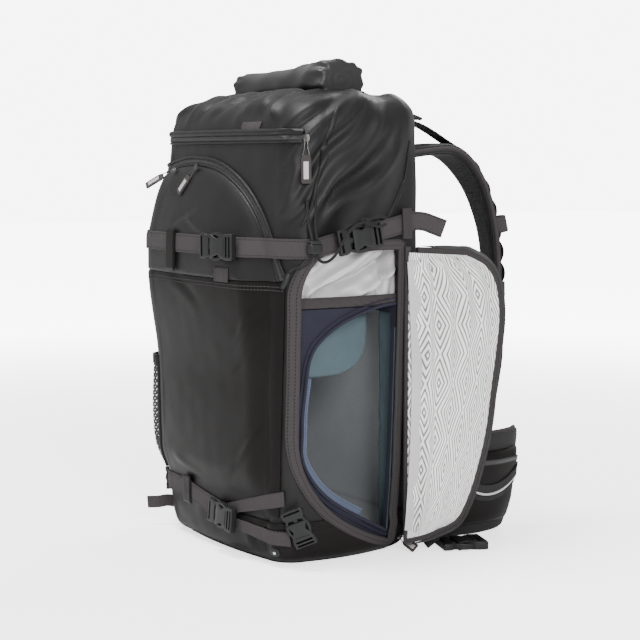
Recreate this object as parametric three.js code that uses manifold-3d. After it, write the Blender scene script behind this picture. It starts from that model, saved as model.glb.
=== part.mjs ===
// A camera backpack with a roll top, standing on its base with its side door swung open.
// Millimetres, +Z up, the front of the bag towards -Y, the wearer's right side towards +X.
// The origin is on the floor, on the axis of the main compartment.
import * as THREE from 'three';
import { mergeVertices } from 'three/addons/utils/BufferGeometryUtils.js';
import Module from 'manifold-3d';

const wasm = await Module();
wasm.setup();

// Driving dimensions of the main compartment
const BODY_HEIGHT = 476;
const HALF_WIDTH = 135;
const FRONT_REACH = 88;
const BACK_REACH = 84;
const CORNER_RADIUS = 29;

// Cloth, padding and the gap between neighbours
const CLOTH = 2;
const BASE_CLOTH = 1.8;
const GAP = 0.4;
const WEBBING = 1.6;
const WEB_WIDTH = 20;

// Door opening in the right side: lengths along Y and Z
const HINGE_Y = 48;
const OPENING_WIDTH = 121;
const OPENING_TOP = BODY_HEIGHT - 154;
const OPENING_BOTTOM = 12;
const TAPE_OUT = 8;
const TAPE_LAP = 3;

// Door panel, swung back about its hinge edge
const DOOR_THICKNESS = 4;
const DOOR_BINDING = 7;
const DOOR_FLARE = 5;
const DOOR_HINGE_X = HALF_WIDTH - 4;

// Insert, the padded box that holds the gear
const INSERT_TOP = OPENING_TOP - 60;
const INSERT_WALL = 8;
const DIVIDER = 9;

// Pockets on the front
const STASH_TOP = OPENING_TOP - 32;
const STASH_BOTTOM = 52;
const STASH_DEPTH = 10;
const ARCH_TOP = BODY_HEIGHT - 72;
const ARCH_DEPTH = 20;
const POCKET_EDGE = 3;
const POCKET_RIGHT = HALF_WIDTH - 14;
const ZIP_WIDTH = 9;
const ZIP_RAISED = 1.6;
const BROW_ZIP_Z = BODY_HEIGHT - 44;

// Mesh pocket on the left side
const MESH_TOP = 194;
const MESH_BOTTOM = 42;
const MESH_BULGE = 20;

// Roll top
const ROLL_LENGTH = 180;
const ROLL_WIDTH = 48;
const ROLL_HEIGHT = 31;
const ROLL_Y = 9;
const ROLL_TURNS = 2.5;

// Harness
const BACK_PAD = 15;
const STRAP_PAD_WIDTH = 60;
const STRAP_PAD = 12;
const BELT_PAD = 12;
const BELT_HEIGHT = 118;
const BELT_POCKET = 9;

// Compression straps, by the height of their centre lines at the front
const UPPER_STRAP_Z = OPENING_TOP + 1;
const UPPER_STRAP_RISE = 24;
const LOWER_STRAP_Z = 56;
const LOWER_BUCKLE_Z = 42;
const STRAP_FLOOR = 2.2;

// Buckles
const BUCKLE_LENGTH = 52;
const BUCKLE_WIDTH = 29;
const BUCKLE_THICKNESS = 7;

const colours = {
  shell: { color: 0x35343a, roughness: 0.55 },
  coated: { color: 0x2f2e2d, roughness: 0.38 },
  webbing: { color: 0x5d5454, roughness: 0.9 },
  plastic: { color: 0x2a2c2d, roughness: 0.5 },
  lining: { color: 0xd9d7d6, roughness: 0.75 },
  insert: { color: 0x3a3a4c, roughness: 0.9 },
  divider: { color: 0x7b979c, roughness: 0.95 },
  padding: { color: 0x2b2b2d, roughness: 0.85 },
  mesh: { color: 0x1e1e1f, roughness: 0.8 },
  metal: { color: 0x8a8683, roughness: 0.35, metalness: 0.9 },
};

const bag = new THREE.Group();
bag.name = 'camera_backpack';

const point = (x, y, z) => new THREE.Vector3(x, y, z);
const lerp = THREE.MathUtils.lerp;
const smooth = THREE.MathUtils.smoothstep;

function materialOf(finish) {
  return new THREE.MeshStandardMaterial(colours[finish]);
}

function addMesh(name, finish, geometry, parent = bag) {
  const mesh = new THREE.Mesh(geometry, materialOf(finish));
  mesh.name = name;
  parent.add(mesh);
  return mesh;
}

// A closed geometry as a solid, with its faces turned outwards
function solidOf(geometry) {
  const bare = geometry.clone();
  bare.deleteAttribute('normal');
  bare.deleteAttribute('uv');
  const merged = mergeVertices(bare, 1e-3);
  const at = merged.attributes.position.array;
  const kept = [];
  let volume = 0;
  const index = merged.index.array;
  for (let i = 0; i < index.length; i += 3) {
    const [a, b, c] = [index[i], index[i + 1], index[i + 2]];
    if (a === b || b === c || a === c) continue;
    kept.push(a, b, c);
    const pa = new THREE.Vector3().fromArray(at, a * 3);
    const pb = new THREE.Vector3().fromArray(at, b * 3);
    const pc = new THREE.Vector3().fromArray(at, c * 3);
    volume += pa.dot(pb.cross(pc));
  }
  const triVerts = new Uint32Array(kept);
  if (volume < 0) {
    for (let i = 0; i < triVerts.length; i += 3) {
      [triVerts[i + 1], triVerts[i + 2]] = [triVerts[i + 2], triVerts[i + 1]];
    }
  }
  return new wasm.Manifold(new wasm.Mesh({ numProp: 3, vertProperties: at, triVerts }));
}

function geometryOf(solid) {
  const mesh = solid.getMesh();
  const geometry = new THREE.BufferGeometry();
  geometry.setAttribute('position', new THREE.BufferAttribute(mesh.vertProperties, 3));
  geometry.setIndex(new THREE.BufferAttribute(mesh.triVerts, 1));
  geometry.computeVertexNormals();
  return geometry;
}

// The largest single body of a solid, for a cut that leaves slivers beside it
function mainBodyOf(solid) {
  return solid.decompose().reduce((a, b) => (b.volume() > a.volume() ? b : a));
}

// A closed skin through rings of equal length, capped at both ends
function skin(rings) {
  const sides = rings[0].length;
  const centreOf = (ring) => ring.reduce((sum, p) => sum.add(p), point(0, 0, 0)).divideScalar(sides);
  const profile = [new THREE.Vector2(0, 0)];
  rings.forEach((_, i) => profile.push(new THREE.Vector2(1, i + 1)));
  profile.push(new THREE.Vector2(0, rings.length + 1));
  const geometry = new THREE.LatheGeometry(profile, sides);
  const position = geometry.attributes.position;
  const first = centreOf(rings[0]);
  const last = centreOf(rings[rings.length - 1]);
  for (let column = 0; column <= sides; column++) {
    for (let row = 0; row < profile.length; row++) {
      let p = rings[row - 1]?.[column % sides];
      if (row === 0) p = first;
      if (row === profile.length - 1) p = last;
      position.setXYZ(column * profile.length + row, p.x, p.y, p.z);
    }
  }
  return solidOf(geometry);
}

// A band swept along a path: each station gives its centre, its width vector and its face normal
function sweptBand(stations, width, thickness, rounded = false) {
  const section = rounded
    ? [[-1, 0], [-0.86, -1], [0.86, -1], [1, 0], [0.86, 1], [-0.86, 1]]
    : [[-1, -1], [1, -1], [1, 1], [-1, 1]];
  const rings = stations.map(({ at, across, out, share = 1 }) =>
    section.map(([s, t]) =>
      at.clone().addScaledVector(across, (s * width * share) / 2).addScaledVector(out, (t * thickness) / 2)));
  return skin(rings);
}

// Stations along a smooth curve, with the width vector given at the curve's ends and middle
function stationsAlong(points, acrossAt, count, shareAt = () => 1) {
  const curve = new THREE.CatmullRomCurve3(points, false, 'centripetal');
  const stations = [];
  for (let i = 0; i <= count; i++) {
    const t = i / count;
    const along = curve.getTangentAt(t);
    const across = acrossAt(t).clone();
    across.addScaledVector(along, -across.dot(along)).normalize();
    const out = new THREE.Vector3().crossVectors(along, across).normalize();
    stations.push({ at: curve.getPointAt(t), across, out, share: shareAt(t) });
  }
  return stations;
}

// Turns what is drawn flat: along X it is drawn in (y, z), along Y in (x, z)
const drawnAlong = {
  x: new THREE.Matrix4().makeBasis(point(0, 1, 0), point(0, 0, 1), point(1, 0, 0)),
  y: new THREE.Matrix4().makeBasis(point(1, 0, 0), point(0, 0, 1), point(0, 1, 0)),
};

function prismAlong(axis, outline, from, to) {
  const shape = new THREE.Shape(outline.map(([a, b]) => new THREE.Vector2(a, b)));
  const geometry = new THREE.ExtrudeGeometry(shape, { depth: to - from, bevelEnabled: false });
  geometry.translate(0, 0, from);
  return solidOf(geometry.applyMatrix4(drawnAlong[axis]));
}

function boxBetween(low, high) {
  const size = high.map((v, i) => v - low[i]);
  const geometry = new THREE.BoxGeometry(...size);
  geometry.translate(...low.map((v, i) => v + size[i] / 2));
  return solidOf(geometry);
}

// Sections of the bag. Heights are shares of BODY_HEIGHT at the front and at the back;
// the others are shares of HALF_WIDTH, FRONT_REACH, BACK_REACH and CORNER_RADIUS.
const SECTIONS = [
  // front height, back height, width, front, back, radius
  [0.0, 0.0, 0.76, 0.82, 0.84, 0.9],
  [0.022, 0.02, 0.87, 0.95, 0.95, 1.0],
  [0.085, 0.085, 0.905, 0.99, 1.0, 1.0],
  [0.2, 0.2, 0.94, 1.0, 1.0, 1.0],
  [0.4, 0.4, 0.975, 1.0, 1.0, 1.0],
  [0.6, 0.6, 1.0, 0.99, 1.0, 1.0],
  [0.75, 0.755, 1.0, 0.96, 1.0, 1.0],
  [0.86, 0.87, 1.0, 0.915, 1.0, 1.0],
  [0.928, 0.945, 1.0, 0.87, 0.98, 1.05],
  [0.972, 0.975, 0.955, 0.74, 0.93, 1.0],
  [0.993, 0.99, 0.87, 0.5, 0.82, 0.9],
  [1.0, 1.0, 0.7, 0.18, 0.52, 0.6],
];
const ROWS = [0, 1, 2, 3, 3.5, 4, 4.5, 5, 5.5, 6, 6.5, 7, 7.5, 8, 9, 10, 11];
const PLAIN_ROWS = [0, 1, 2, 3, 4, 5, 6, 7];
const FRONT_STEPS = 5;
const SIDE_STEPS = 6;
const BACK_STEPS = 2;
const CORNER_STEPS = 3;
const BACK_CORNER_STEPS = 2;

// A column of the shared section: which stretch it lies on and how far along
const COLUMNS = [
  ...steps('front', FRONT_STEPS),
  ...steps('front_right', CORNER_STEPS),
  ...steps('right', SIDE_STEPS),
  ...steps('back_right', BACK_CORNER_STEPS),
  ...steps('back', BACK_STEPS),
  ...steps('back_left', BACK_CORNER_STEPS),
  ...steps('left', SIDE_STEPS),
  ...steps('front_left', CORNER_STEPS),
];

function steps(stretch, count) {
  return Array.from({ length: count }, (_, i) => ({ stretch, t: i / count }));
}

// The section's measures at a place between two rows of the table
function sectionAt(row) {
  const i = Math.min(Math.floor(row), SECTIONS.length - 2);
  const t = row - i;
  const pick = (n) => SECTIONS[Math.min(Math.max(n, 0), SECTIONS.length - 1)];
  const [p0, p1, p2, p3] = [pick(i - 1), pick(i), pick(i + 1), pick(i + 2)];
  const value = (k) => {
    const slope1 = (p2[k] - p0[k]) / 2;
    const slope2 = (p3[k] - p1[k]) / 2;
    const t2 = t * t;
    const t3 = t2 * t;
    return (2 * t3 - 3 * t2 + 1) * p1[k] + (t3 - 2 * t2 + t) * slope1
      + (3 * t2 - 2 * t3) * p2[k] + (t3 - t2) * slope2;
  };
  return {
    frontZ: value(0) * BODY_HEIGHT,
    backZ: value(1) * BODY_HEIGHT,
    half: value(2) * HALF_WIDTH,
    front: -value(3) * FRONT_REACH,
    back: value(4) * BACK_REACH,
    radius: value(5) * CORNER_RADIUS,
  };
}

// The soft bow of the walls between their corners
const SIDE_BOW = 5;
const FRONT_BOW = 5;

function planPoint(section, { stretch, t }) {
  const { half, front, back, radius: r } = section;
  const arc = (cx, cy, start) => {
    const a = (start + t * 90) * (Math.PI / 180);
    return [cx + r * Math.cos(a), cy + r * Math.sin(a)];
  };
  const bow = 4 * t * (1 - t);
  if (stretch === 'front') return [lerp(-half + r, half - r, t), front - FRONT_BOW * bow];
  if (stretch === 'front_right') return arc(half - r, front + r, 270);
  if (stretch === 'right') return [half + SIDE_BOW * bow, lerp(front + r, back - r, t)];
  if (stretch === 'back_right') return arc(half - r, back - r, 0);
  if (stretch === 'back') return [lerp(half - r, -half + r, t), back];
  if (stretch === 'back_left') return arc(-half + r, back - r, 90);
  if (stretch === 'left') return [-half - SIDE_BOW * bow, lerp(back - r, front + r, t)];
  return arc(-half + r, front + r, 180);
}

// Folds that the gathered cloth makes where it is drawn up to the roll.
// Each row: side of the bag, start and end as shares of depth and height, width share and depth in mm.
const FOLDS = [
  // side, fromY, fromZ, toY, toZ, width, height
  ['right', 0.1, 0.97, -0.75, 0.7, 0.09, 5],
  ['right', 0.35, 0.97, -0.5, 0.67, 0.08, -4],
  ['right', 0.6, 0.95, -0.15, 0.69, 0.08, 4.5],
  ['right', 0.8, 0.88, 0.25, 0.7, 0.07, -3],
  ['left', 0.1, 0.97, -0.75, 0.7, 0.09, 4],
  ['left', 0.5, 0.96, -0.3, 0.68, 0.09, -4],
  ['left', 0.75, 0.9, 0.1, 0.7, 0.08, 4],
];

// Distance from a place to a line segment, both in shares
function distanceToSegment(a, b, a1, b1, a2, b2) {
  const [da, db] = [a2 - a1, b2 - b1];
  const t = THREE.MathUtils.clamp(((a - a1) * da + (b - b1) * db) / (da * da + db * db), 0, 1);
  return Math.hypot(a - a1 - t * da, b - b1 - t * db);
}

function foldAt(x, y, z) {
  const side = x > 0 ? 'right' : 'left';
  const nearSide = smooth(Math.abs(x), 0.55 * HALF_WIDTH, 0.85 * HALF_WIDTH);
  return FOLDS.filter((fold) => fold[0] === side).reduce((sum, [, y1, z1, y2, z2, width, height]) => {
    const away = distanceToSegment(y / BACK_REACH / 2, z / BODY_HEIGHT, y1 / 2, z1, y2 / 2, z2);
    return sum + height * nearSide * Math.exp(-((away / width) ** 2));
  }, 0);
}

// The zip line over the arched pocket: shares of HALF_WIDTH from the middle and
// of the way up from STASH_TOP to ARCH_TOP
const ARCH_LINE = [
  // across, up
  [-1.2, 0.85],
  [-0.85, 0.93],
  [-0.6, 0.985],
  [-0.35, 1.0],
  [-0.05, 0.97],
  [0.24, 0.86],
  [0.5, 0.66],
  [0.68, 0.42],
  [0.8, 0.15],
  [0.85, 0.0],
];

function archLine(steps) {
  const at = ARCH_LINE.map(([x, z]) => new THREE.Vector2(x * HALF_WIDTH, lerp(STASH_TOP, ARCH_TOP, z)));
  return new THREE.SplineCurve(at).getPoints(steps);
}
const archCurve = archLine(22);

function archHeightAt(x) {
  const i = archCurve.findIndex((p) => p.x >= x);
  if (i < 0) return STASH_TOP;
  if (i === 0) return archCurve[0].y;
  const [a, b] = [archCurve[i - 1], archCurve[i]];
  return lerp(a.y, b.y, (x - a.x) / (b.x - a.x));
}

// How far the front pockets stand out from the bag, at a place on the front
function pocketDepth(x, z, facing) {
  const nearEdge = 1 - smooth(x, POCKET_RIGHT - 45, POCKET_RIGHT);
  const top = archHeightAt(x);
  const arch = ARCH_DEPTH * Math.sqrt(THREE.MathUtils.clamp((top - z) / 70, 0, 1));
  const low = STASH_DEPTH * smooth(z, STASH_BOTTOM, STASH_BOTTOM + 45);
  const share = smooth(z, STASH_TOP - 110, STASH_TOP + 5);
  return Math.max(POCKET_EDGE, lerp(low, arch, share) * nearEdge) * facing;
}

// How far the mesh pocket stands out from the left side, at a place on the column of a section
function meshDepth(z, { stretch, t }) {
  const swell = { left: 0.4 + 0.6 * t, front_left: Math.max(1 - 1.6 * t, 0) }[stretch] ?? 0;
  return MESH_BULGE * swell * smooth(z, MESH_BOTTOM, MESH_BOTTOM + 70);
}

// What lies on the bag at a place, for the layer that is laid over it: the bare body, the
// pockets, the straps over the pockets and zips, or the mesh pocket
function layerDepth(layer, p, column) {
  const facing = facingOf[column.stretch]?.(column.t) ?? 0;
  const pocket = pocketDepth(p.x, p.z, facing);
  if (layer === 'pockets') return pocket;
  if (layer === 'straps') return Math.max(pocket, STRAP_FLOOR);
  if (layer === 'mesh') return Math.max(pocket, STRAP_FLOOR) + meshDepth(p.z, column);
  return 0;
}

const facingOf = {
  front: () => 1,
  front_right: (t) => 1 - t * t,
  front_left: (t) => 1 - (1 - t) ** 4,
};

function surfacePoint(row, column, offset, layer) {
  const base = (r, c) => {
    const section = sectionAt(r);
    const [x, y] = planPoint(section, c);
    const share = (y - section.front) / (section.back - section.front);
    return point(x, y, lerp(section.frontZ, section.backZ, share) + BASE_CLOTH + GAP);
  };
  const p = base(row, column);
  const step = 0.02;
  const rising = base(Math.min(row + step, SECTIONS.length - 1), column)
    .sub(base(Math.max(row - step, 0), column));
  const [cos, sin] = outwardOf(column);
  const round = point(-sin, cos, 0);
  const normal = new THREE.Vector3().crossVectors(round, rising).normalize();
  // The first and last rows bound the flat foot and top, which are offset straight down and up
  if (row === 0) normal.set(cos, sin, -1);
  if (row === SECTIONS.length - 1) normal.set(0, 0, 1);
  const lift = offset + foldAt(p.x, p.y, p.z) + layerDepth(layer, p, column);
  return p.addScaledVector(normal, lift);
}

// The direction that the plan section faces at a column
function outwardOf({ stretch, t }) {
  const turned = {
    front: 270, front_right: 270 + 90 * t, right: 0, back_right: 90 * t,
    back: 90, back_left: 90 + 90 * t, left: 180, front_left: 180 + 90 * t,
  }[stretch];
  const a = turned * (Math.PI / 180);
  return [Math.cos(a), Math.sin(a)];
}

// The whole outside of the bag, grown or shrunk by an offset
function envelope(offset, layer = 'bare', rows = ROWS) {
  return skin(rows.map((row) => COLUMNS.map((column) => surfacePoint(row, column, offset, layer))));
}

const bare = envelope(0);
const inside = envelope(-CLOTH);
const clearOfBody = envelope(GAP);
const dressed = envelope(0, 'pockets');

// The door opening, drawn in (y, z): a tall D with its lower front corner cut away
function openingOutline(grow = 0) {
  const front = HINGE_Y - OPENING_WIDTH;
  const height = OPENING_TOP - OPENING_BOTTOM;
  const shape = new THREE.Shape();
  shape.moveTo(HINGE_Y + grow, OPENING_BOTTOM - grow);
  shape.lineTo(HINGE_Y + grow, OPENING_TOP + grow);
  shape.lineTo(front + 0.42 * OPENING_WIDTH, OPENING_TOP + grow);
  shape.quadraticCurveTo(front - grow, OPENING_TOP + grow, front - grow, OPENING_BOTTOM + 0.84 * height);
  shape.lineTo(front - grow, OPENING_BOTTOM + 0.4 * height);
  shape.bezierCurveTo(
    front - grow, OPENING_BOTTOM + 0.2 * height,
    front + 0.4 * OPENING_WIDTH - grow, OPENING_BOTTOM + 0.07 * height - grow,
    HINGE_Y + grow, OPENING_BOTTOM - grow,
  );
  return shape.getPoints(5).map((p) => [p.x, p.y]);
}

const DOOR_REACH = [60, 200];
const FAR = 400;
const opening = prismAlong('x', openingOutline(), ...DOOR_REACH);

addMesh('bag_body', 'shell', geometryOf(mainBodyOf(bare.subtract(inside).subtract(opening))));

// Coated base, a tray under and round the bottom of the body, cut clear of the zip tape
const BASE_TOP = 46;
const baseZone = boxBetween([-FAR, -FAR, -FAR], [FAR, FAR, BASE_TOP]);
const baseSkin = envelope(BASE_CLOTH + GAP).subtract(clearOfBody).intersect(baseZone);
const tapeZone = prismAlong('x', openingOutline(TAPE_OUT + GAP), ...DOOR_REACH);
addMesh('base_panel', 'coated', geometryOf(mainBodyOf(baseSkin.subtract(tapeZone))));

// Zip tape round the door opening
const tapeOuter = prismAlong('x', openingOutline(TAPE_OUT), ...DOOR_REACH);
const tapeInner = prismAlong('x', openingOutline(-TAPE_LAP), ...DOOR_REACH);
const tapeTop = GAP + ZIP_RAISED;
const tape = envelope(tapeTop).subtract(clearOfBody).intersect(tapeOuter.subtract(tapeInner));
addMesh('door_zip_tape', 'webbing', geometryOf(mainBodyOf(tape)));

// Front pockets: walls of cloth raised from the body, open to it at the back
const dressedInside = envelope(-CLOTH, 'pockets');

function pocketFrom(outer, inner) {
  const cavity = dressedInside.intersect(inner);
  return mainBodyOf(dressed.intersect(outer).subtract(clearOfBody).subtract(cavity));
}

const FRONT_ZONE = [-FAR, -20];
const POCKET_WRAP_Y = -60;
const stashPanel = (inset) => boxBetween(
  [-FAR, -FAR, STASH_BOTTOM + inset],
  [POCKET_RIGHT - inset, POCKET_WRAP_Y - inset, STASH_TOP - GAP - inset],
).subtract(prismAlong('x', openingOutline(TAPE_OUT + GAP + inset), ...DOOR_REACH));
addMesh('stash_pocket', 'coated', geometryOf(pocketFrom(stashPanel(0), stashPanel(CLOTH))));

// The region under the zip line, moved outwards from it by a distance
function underArch(grow) {
  const edge = archCurve.map((p, i) => {
    const [a, b] = [archCurve[Math.max(i - 1, 0)], archCurve[Math.min(i + 1, archCurve.length - 1)]];
    const along = b.clone().sub(a).normalize();
    return [p.x - along.y * grow, p.y + along.x * grow];
  });
  const foot = edge[edge.length - 1];
  return [...edge, [foot[0], STASH_TOP - 60], [edge[0][0], STASH_TOP - 60]];
}
const archZone = (grow) => prismAlong('y', underArch(grow), ...FRONT_ZONE)
  .intersect(boxBetween([-FAR, -FAR, STASH_TOP + Math.max(-grow, 0)], [FAR, POCKET_WRAP_Y + Math.min(grow, 0), FAR * 2]));
addMesh('arch_pocket', 'shell', geometryOf(pocketFrom(archZone(0), archZone(-CLOTH))));

// Zips laid on the body: along the arched pocket, and across the brow of the front
const zipSkin = envelope(GAP + ZIP_RAISED).subtract(clearOfBody);
const archBand = archZone(GAP + ZIP_WIDTH).subtract(archZone(GAP));
addMesh('arch_zip', 'mesh', geometryOf(mainBodyOf(zipSkin.intersect(archBand))));
const BROW_HALF = HALF_WIDTH - 4;
const browBand = boxBetween(
  [-BROW_HALF, -FAR, BROW_ZIP_Z - ZIP_WIDTH / 2],
  [BROW_HALF, -30, BROW_ZIP_Z + ZIP_WIDTH / 2],
);
addMesh('brow_zip', 'mesh', geometryOf(mainBodyOf(zipSkin.intersect(browBand))));

// The rolled closure: one sheet wound flat, its turns a little apart
function rollTop() {
  const pitch = ROLL_HEIGHT / 2 / (ROLL_TURNS + 0.5);
  const flat = (ROLL_WIDTH - ROLL_HEIGHT) / 2;
  const stepsPerTurn = 12;
  const spiral = (shift) => {
    const points = [];
    for (let i = 0; i <= ROLL_TURNS * stepsPerTurn; i++) {
      const a = (i / stepsPerTurn) * Math.PI * 2;
      const r = ROLL_HEIGHT / 2 - shift - (i / stepsPerTurn) * pitch;
      points.push(new THREE.Vector2(Math.cos(a) * r + flat * Math.sign(Math.cos(a)), Math.sin(a) * r));
    }
    return points;
  };
  const shape = new THREE.Shape([...spiral(0), ...spiral(CLOTH).reverse()]);
  const geometry = new THREE.ExtrudeGeometry(shape, { depth: ROLL_LENGTH, steps: 1, bevelEnabled: false });
  geometry.translate(0, 0, -ROLL_LENGTH / 2);
  return geometry.applyMatrix4(drawnAlong.x);
}
const roll = addMesh('roll_top', 'shell', geometryOf(solidOf(rollTop())));
roll.geometry.computeBoundingBox();
roll.position.set(-3, ROLL_Y, bare.boundingBox().max[2] - roll.geometry.boundingBox.min.z - 4);

// A sheet of cloth over a grid: place(u, v) with u and v from 0 to 1, thickened to both sides
function clothPatch(columns, rows, thickness, place) {
  const geometry = new THREE.BoxGeometry(1, 1, 1, columns, rows, 1);
  const position = geometry.attributes.position;
  const h = 1e-3;
  for (let i = 0; i < position.count; i++) {
    const u = position.getX(i) + 0.5;
    const v = position.getY(i) + 0.5;
    const side = position.getZ(i);
    const du = place(Math.min(u + h, 1), v).sub(place(Math.max(u - h, 0), v));
    const dv = place(u, Math.min(v + h, 1)).sub(place(u, Math.max(v - h, 0)));
    const out = du.cross(dv).normalize();
    const p = place(u, v).addScaledVector(out, side * thickness);
    position.setXYZ(i, p.x, p.y, p.z);
  }
  return solidOf(geometry);
}

// A value read from a column of a table by a share along its rows
function readTable(table, share, column) {
  const at = THREE.MathUtils.clamp(share, 0, 1) * (table.length - 1);
  const i = Math.min(Math.floor(at), table.length - 2);
  return lerp(table[i][column], table[i + 1][column], at - i);
}

// Free edge of the door from its bottom to its top, as shares of the door's width and of the opening's height
const DOOR_EDGE = [
  // out from the hinge, height
  [0.36, 0.018],
  [0.56, 0.048],
  [0.69, 0.13],
  [0.8, 0.25],
  [0.875, 0.37],
  [0.92, 0.5],
  [0.965, 0.62],
  [1.0, 0.74],
  [0.985, 0.83],
  [0.93, 0.9],
  [0.82, 0.95],
  [0.64, 0.985],
];
const DOOR_WIDTH = 119;
const DOOR_BOW = 9;
const doorAlong = point(Math.sin(DOOR_FLARE * Math.PI / 180), Math.cos(DOOR_FLARE * Math.PI / 180), 0);
const doorOut = point(doorAlong.y, -doorAlong.x, 0);

function doorPoint(u, v, inset) {
  const height = OPENING_TOP - OPENING_BOTTOM;
  const reach = readTable(DOOR_EDGE, v, 0) * DOOR_WIDTH - inset;
  const hingeZ = OPENING_BOTTOM + inset + v * (height - 2 * inset);
  const rise = inset * (1 - 2 * v);
  const freeZ = OPENING_BOTTOM + readTable(DOOR_EDGE, v, 1) * height + rise;
  const bow = DOOR_BOW * Math.sin(Math.PI * u) * (0.4 + 0.6 * Math.sin(Math.PI * v));
  return point(DOOR_HINGE_X + TAPE_LAP + DOOR_THICKNESS, HINGE_Y + TAPE_OUT + GAP, 0)
    .addScaledVector(doorAlong, u * reach)
    .addScaledVector(doorOut, bow)
    .setZ(lerp(hingeZ, freeZ, u));
}
addMesh('side_door', 'lining', geometryOf(
  clothPatch(4, 12, DOOR_THICKNESS, (u, v) => doorPoint(u, v, DOOR_BINDING + 2 * GAP)),
));

// Binding round the free edge of the door
function doorBinding() {
  const edge = [];
  for (let i = 0; i <= 4; i++) edge.push(doorPoint(i / 5, 0, DOOR_BINDING / 2));
  for (let i = 0; i <= 12; i++) edge.push(doorPoint(1, i / 12, DOOR_BINDING / 2));
  for (let i = 4; i >= 0; i--) edge.push(doorPoint(i / 5, 1, DOOR_BINDING / 2));
  const curve = new THREE.CatmullRomCurve3(edge, false, 'centripetal');
  const stations = [];
  const count = 24;
  for (let i = 0; i <= count; i++) {
    const along = curve.getTangentAt(i / count);
    const across = new THREE.Vector3().crossVectors(doorOut, along).normalize();
    stations.push({ at: curve.getPointAt(i / count), across, out: doorOut });
  }
  return sweptBand(stations, DOOR_BINDING - 1, DOOR_THICKNESS + 2, true);
}
addMesh('door_binding', 'webbing', geometryOf(doorBinding()));


// Layers for what is laid on the bag, each a thin shell over the layer below it
function shellOver(layer, thickness) {
  return envelope(GAP + thickness, layer).subtract(envelope(GAP, layer));
}
const webbingShell = shellOver('straps', WEBBING);

// A slanted band drawn flat: its centre line from a to b, as wide as the webbing
function slantedBand(a, b, width = WEB_WIDTH) {
  const half = width / 2;
  return [[a[0], a[1] - half], [b[0], b[1] - half], [b[0], b[1] + half], [a[0], a[1] + half]];
}

// Upper compression strap: level across the front, rising to the back on both sides
const UPPER_BUCKLE_X = 46;
const STRAP_BACK_Y = 60;
const RISE_FROM_Y = -62;
const upperLine = (y) => UPPER_STRAP_Z + UPPER_STRAP_RISE * Math.max((y - RISE_FROM_Y) / (STRAP_BACK_Y - RISE_FROM_Y), 0);
const sideBand = [
  ...slantedBand([RISE_FROM_Y, UPPER_STRAP_Z], [STRAP_BACK_Y, upperLine(STRAP_BACK_Y)]).slice(1, 3),
  [RISE_FROM_Y, UPPER_STRAP_Z + WEB_WIDTH / 2],
  [-FAR, UPPER_STRAP_Z + WEB_WIDTH / 2],
  [-FAR, UPPER_STRAP_Z - WEB_WIDTH / 2],
  [RISE_FROM_Y, UPPER_STRAP_Z - WEB_WIDTH / 2],
];
const upperFrontZone = boxBetween(
  [-60 - GAP, -FAR, UPPER_STRAP_Z - WEB_WIDTH / 2],
  [UPPER_BUCKLE_X - GAP / 2, 0, UPPER_STRAP_Z + WEB_WIDTH / 2],
).add(prismAlong('x', sideBand, -FAR, -60));
const upperSideZone = boxBetween(
  [UPPER_BUCKLE_X + GAP / 2, -FAR, UPPER_STRAP_Z - WEB_WIDTH / 2],
  [60 + GAP, 0, UPPER_STRAP_Z + WEB_WIDTH / 2],
).add(prismAlong('x', sideBand, 60, FAR));
addMesh('upper_strap_front', 'webbing', geometryOf(mainBodyOf(webbingShell.intersect(upperFrontZone))));
addMesh('upper_strap_side', 'webbing', geometryOf(mainBodyOf(webbingShell.intersect(upperSideZone))));

// Lower compression strap: a wide end from the left, two narrow runs on to the corner
const LOWER_BUCKLE_X = 30;
const CORNER_X = 118;
const CORNER_HIGH_Z = 72;
const CORNER_LOW_Z = 30;
const LOWER_RUN_WIDTH = 16;
function lowerRun(outline) {
  return geometryOf(mainBodyOf(webbingShell.intersect(prismAlong('y', outline, -FAR, -40))));
}
addMesh('lower_strap_left', 'webbing', lowerRun([
  [-FAR, LOWER_STRAP_Z - WEB_WIDTH / 2],
  [-60, LOWER_STRAP_Z - WEB_WIDTH / 2],
  [LOWER_BUCKLE_X - GAP, LOWER_BUCKLE_Z - WEB_WIDTH / 2],
  [LOWER_BUCKLE_X - GAP, LOWER_BUCKLE_Z + WEB_WIDTH / 2],
  [-60, LOWER_STRAP_Z + WEB_WIDTH / 2],
  [-FAR, LOWER_STRAP_Z + WEB_WIDTH / 2],
]));
const upperRunEnd = [CORNER_X, CORNER_HIGH_Z];
const lowerRunEnd = [CORNER_X, CORNER_LOW_Z];
const runStart = LOWER_BUCKLE_X + GAP;
addMesh('lower_strap_upper_run', 'webbing', lowerRun([
  [runStart, LOWER_BUCKLE_Z + GAP],
  [upperRunEnd[0], upperRunEnd[1] - LOWER_RUN_WIDTH / 2],
  [upperRunEnd[0], upperRunEnd[1] + LOWER_RUN_WIDTH / 2],
  [runStart, LOWER_BUCKLE_Z + LOWER_RUN_WIDTH - 4],
]));
addMesh('lower_strap_lower_run', 'webbing', lowerRun([
  [runStart, LOWER_BUCKLE_Z - LOWER_RUN_WIDTH + 6],
  [lowerRunEnd[0], lowerRunEnd[1] - LOWER_RUN_WIDTH / 2],
  [lowerRunEnd[0], lowerRunEnd[1] + LOWER_RUN_WIDTH / 2],
  [runStart, LOWER_BUCKLE_Z - GAP],
]));

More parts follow.
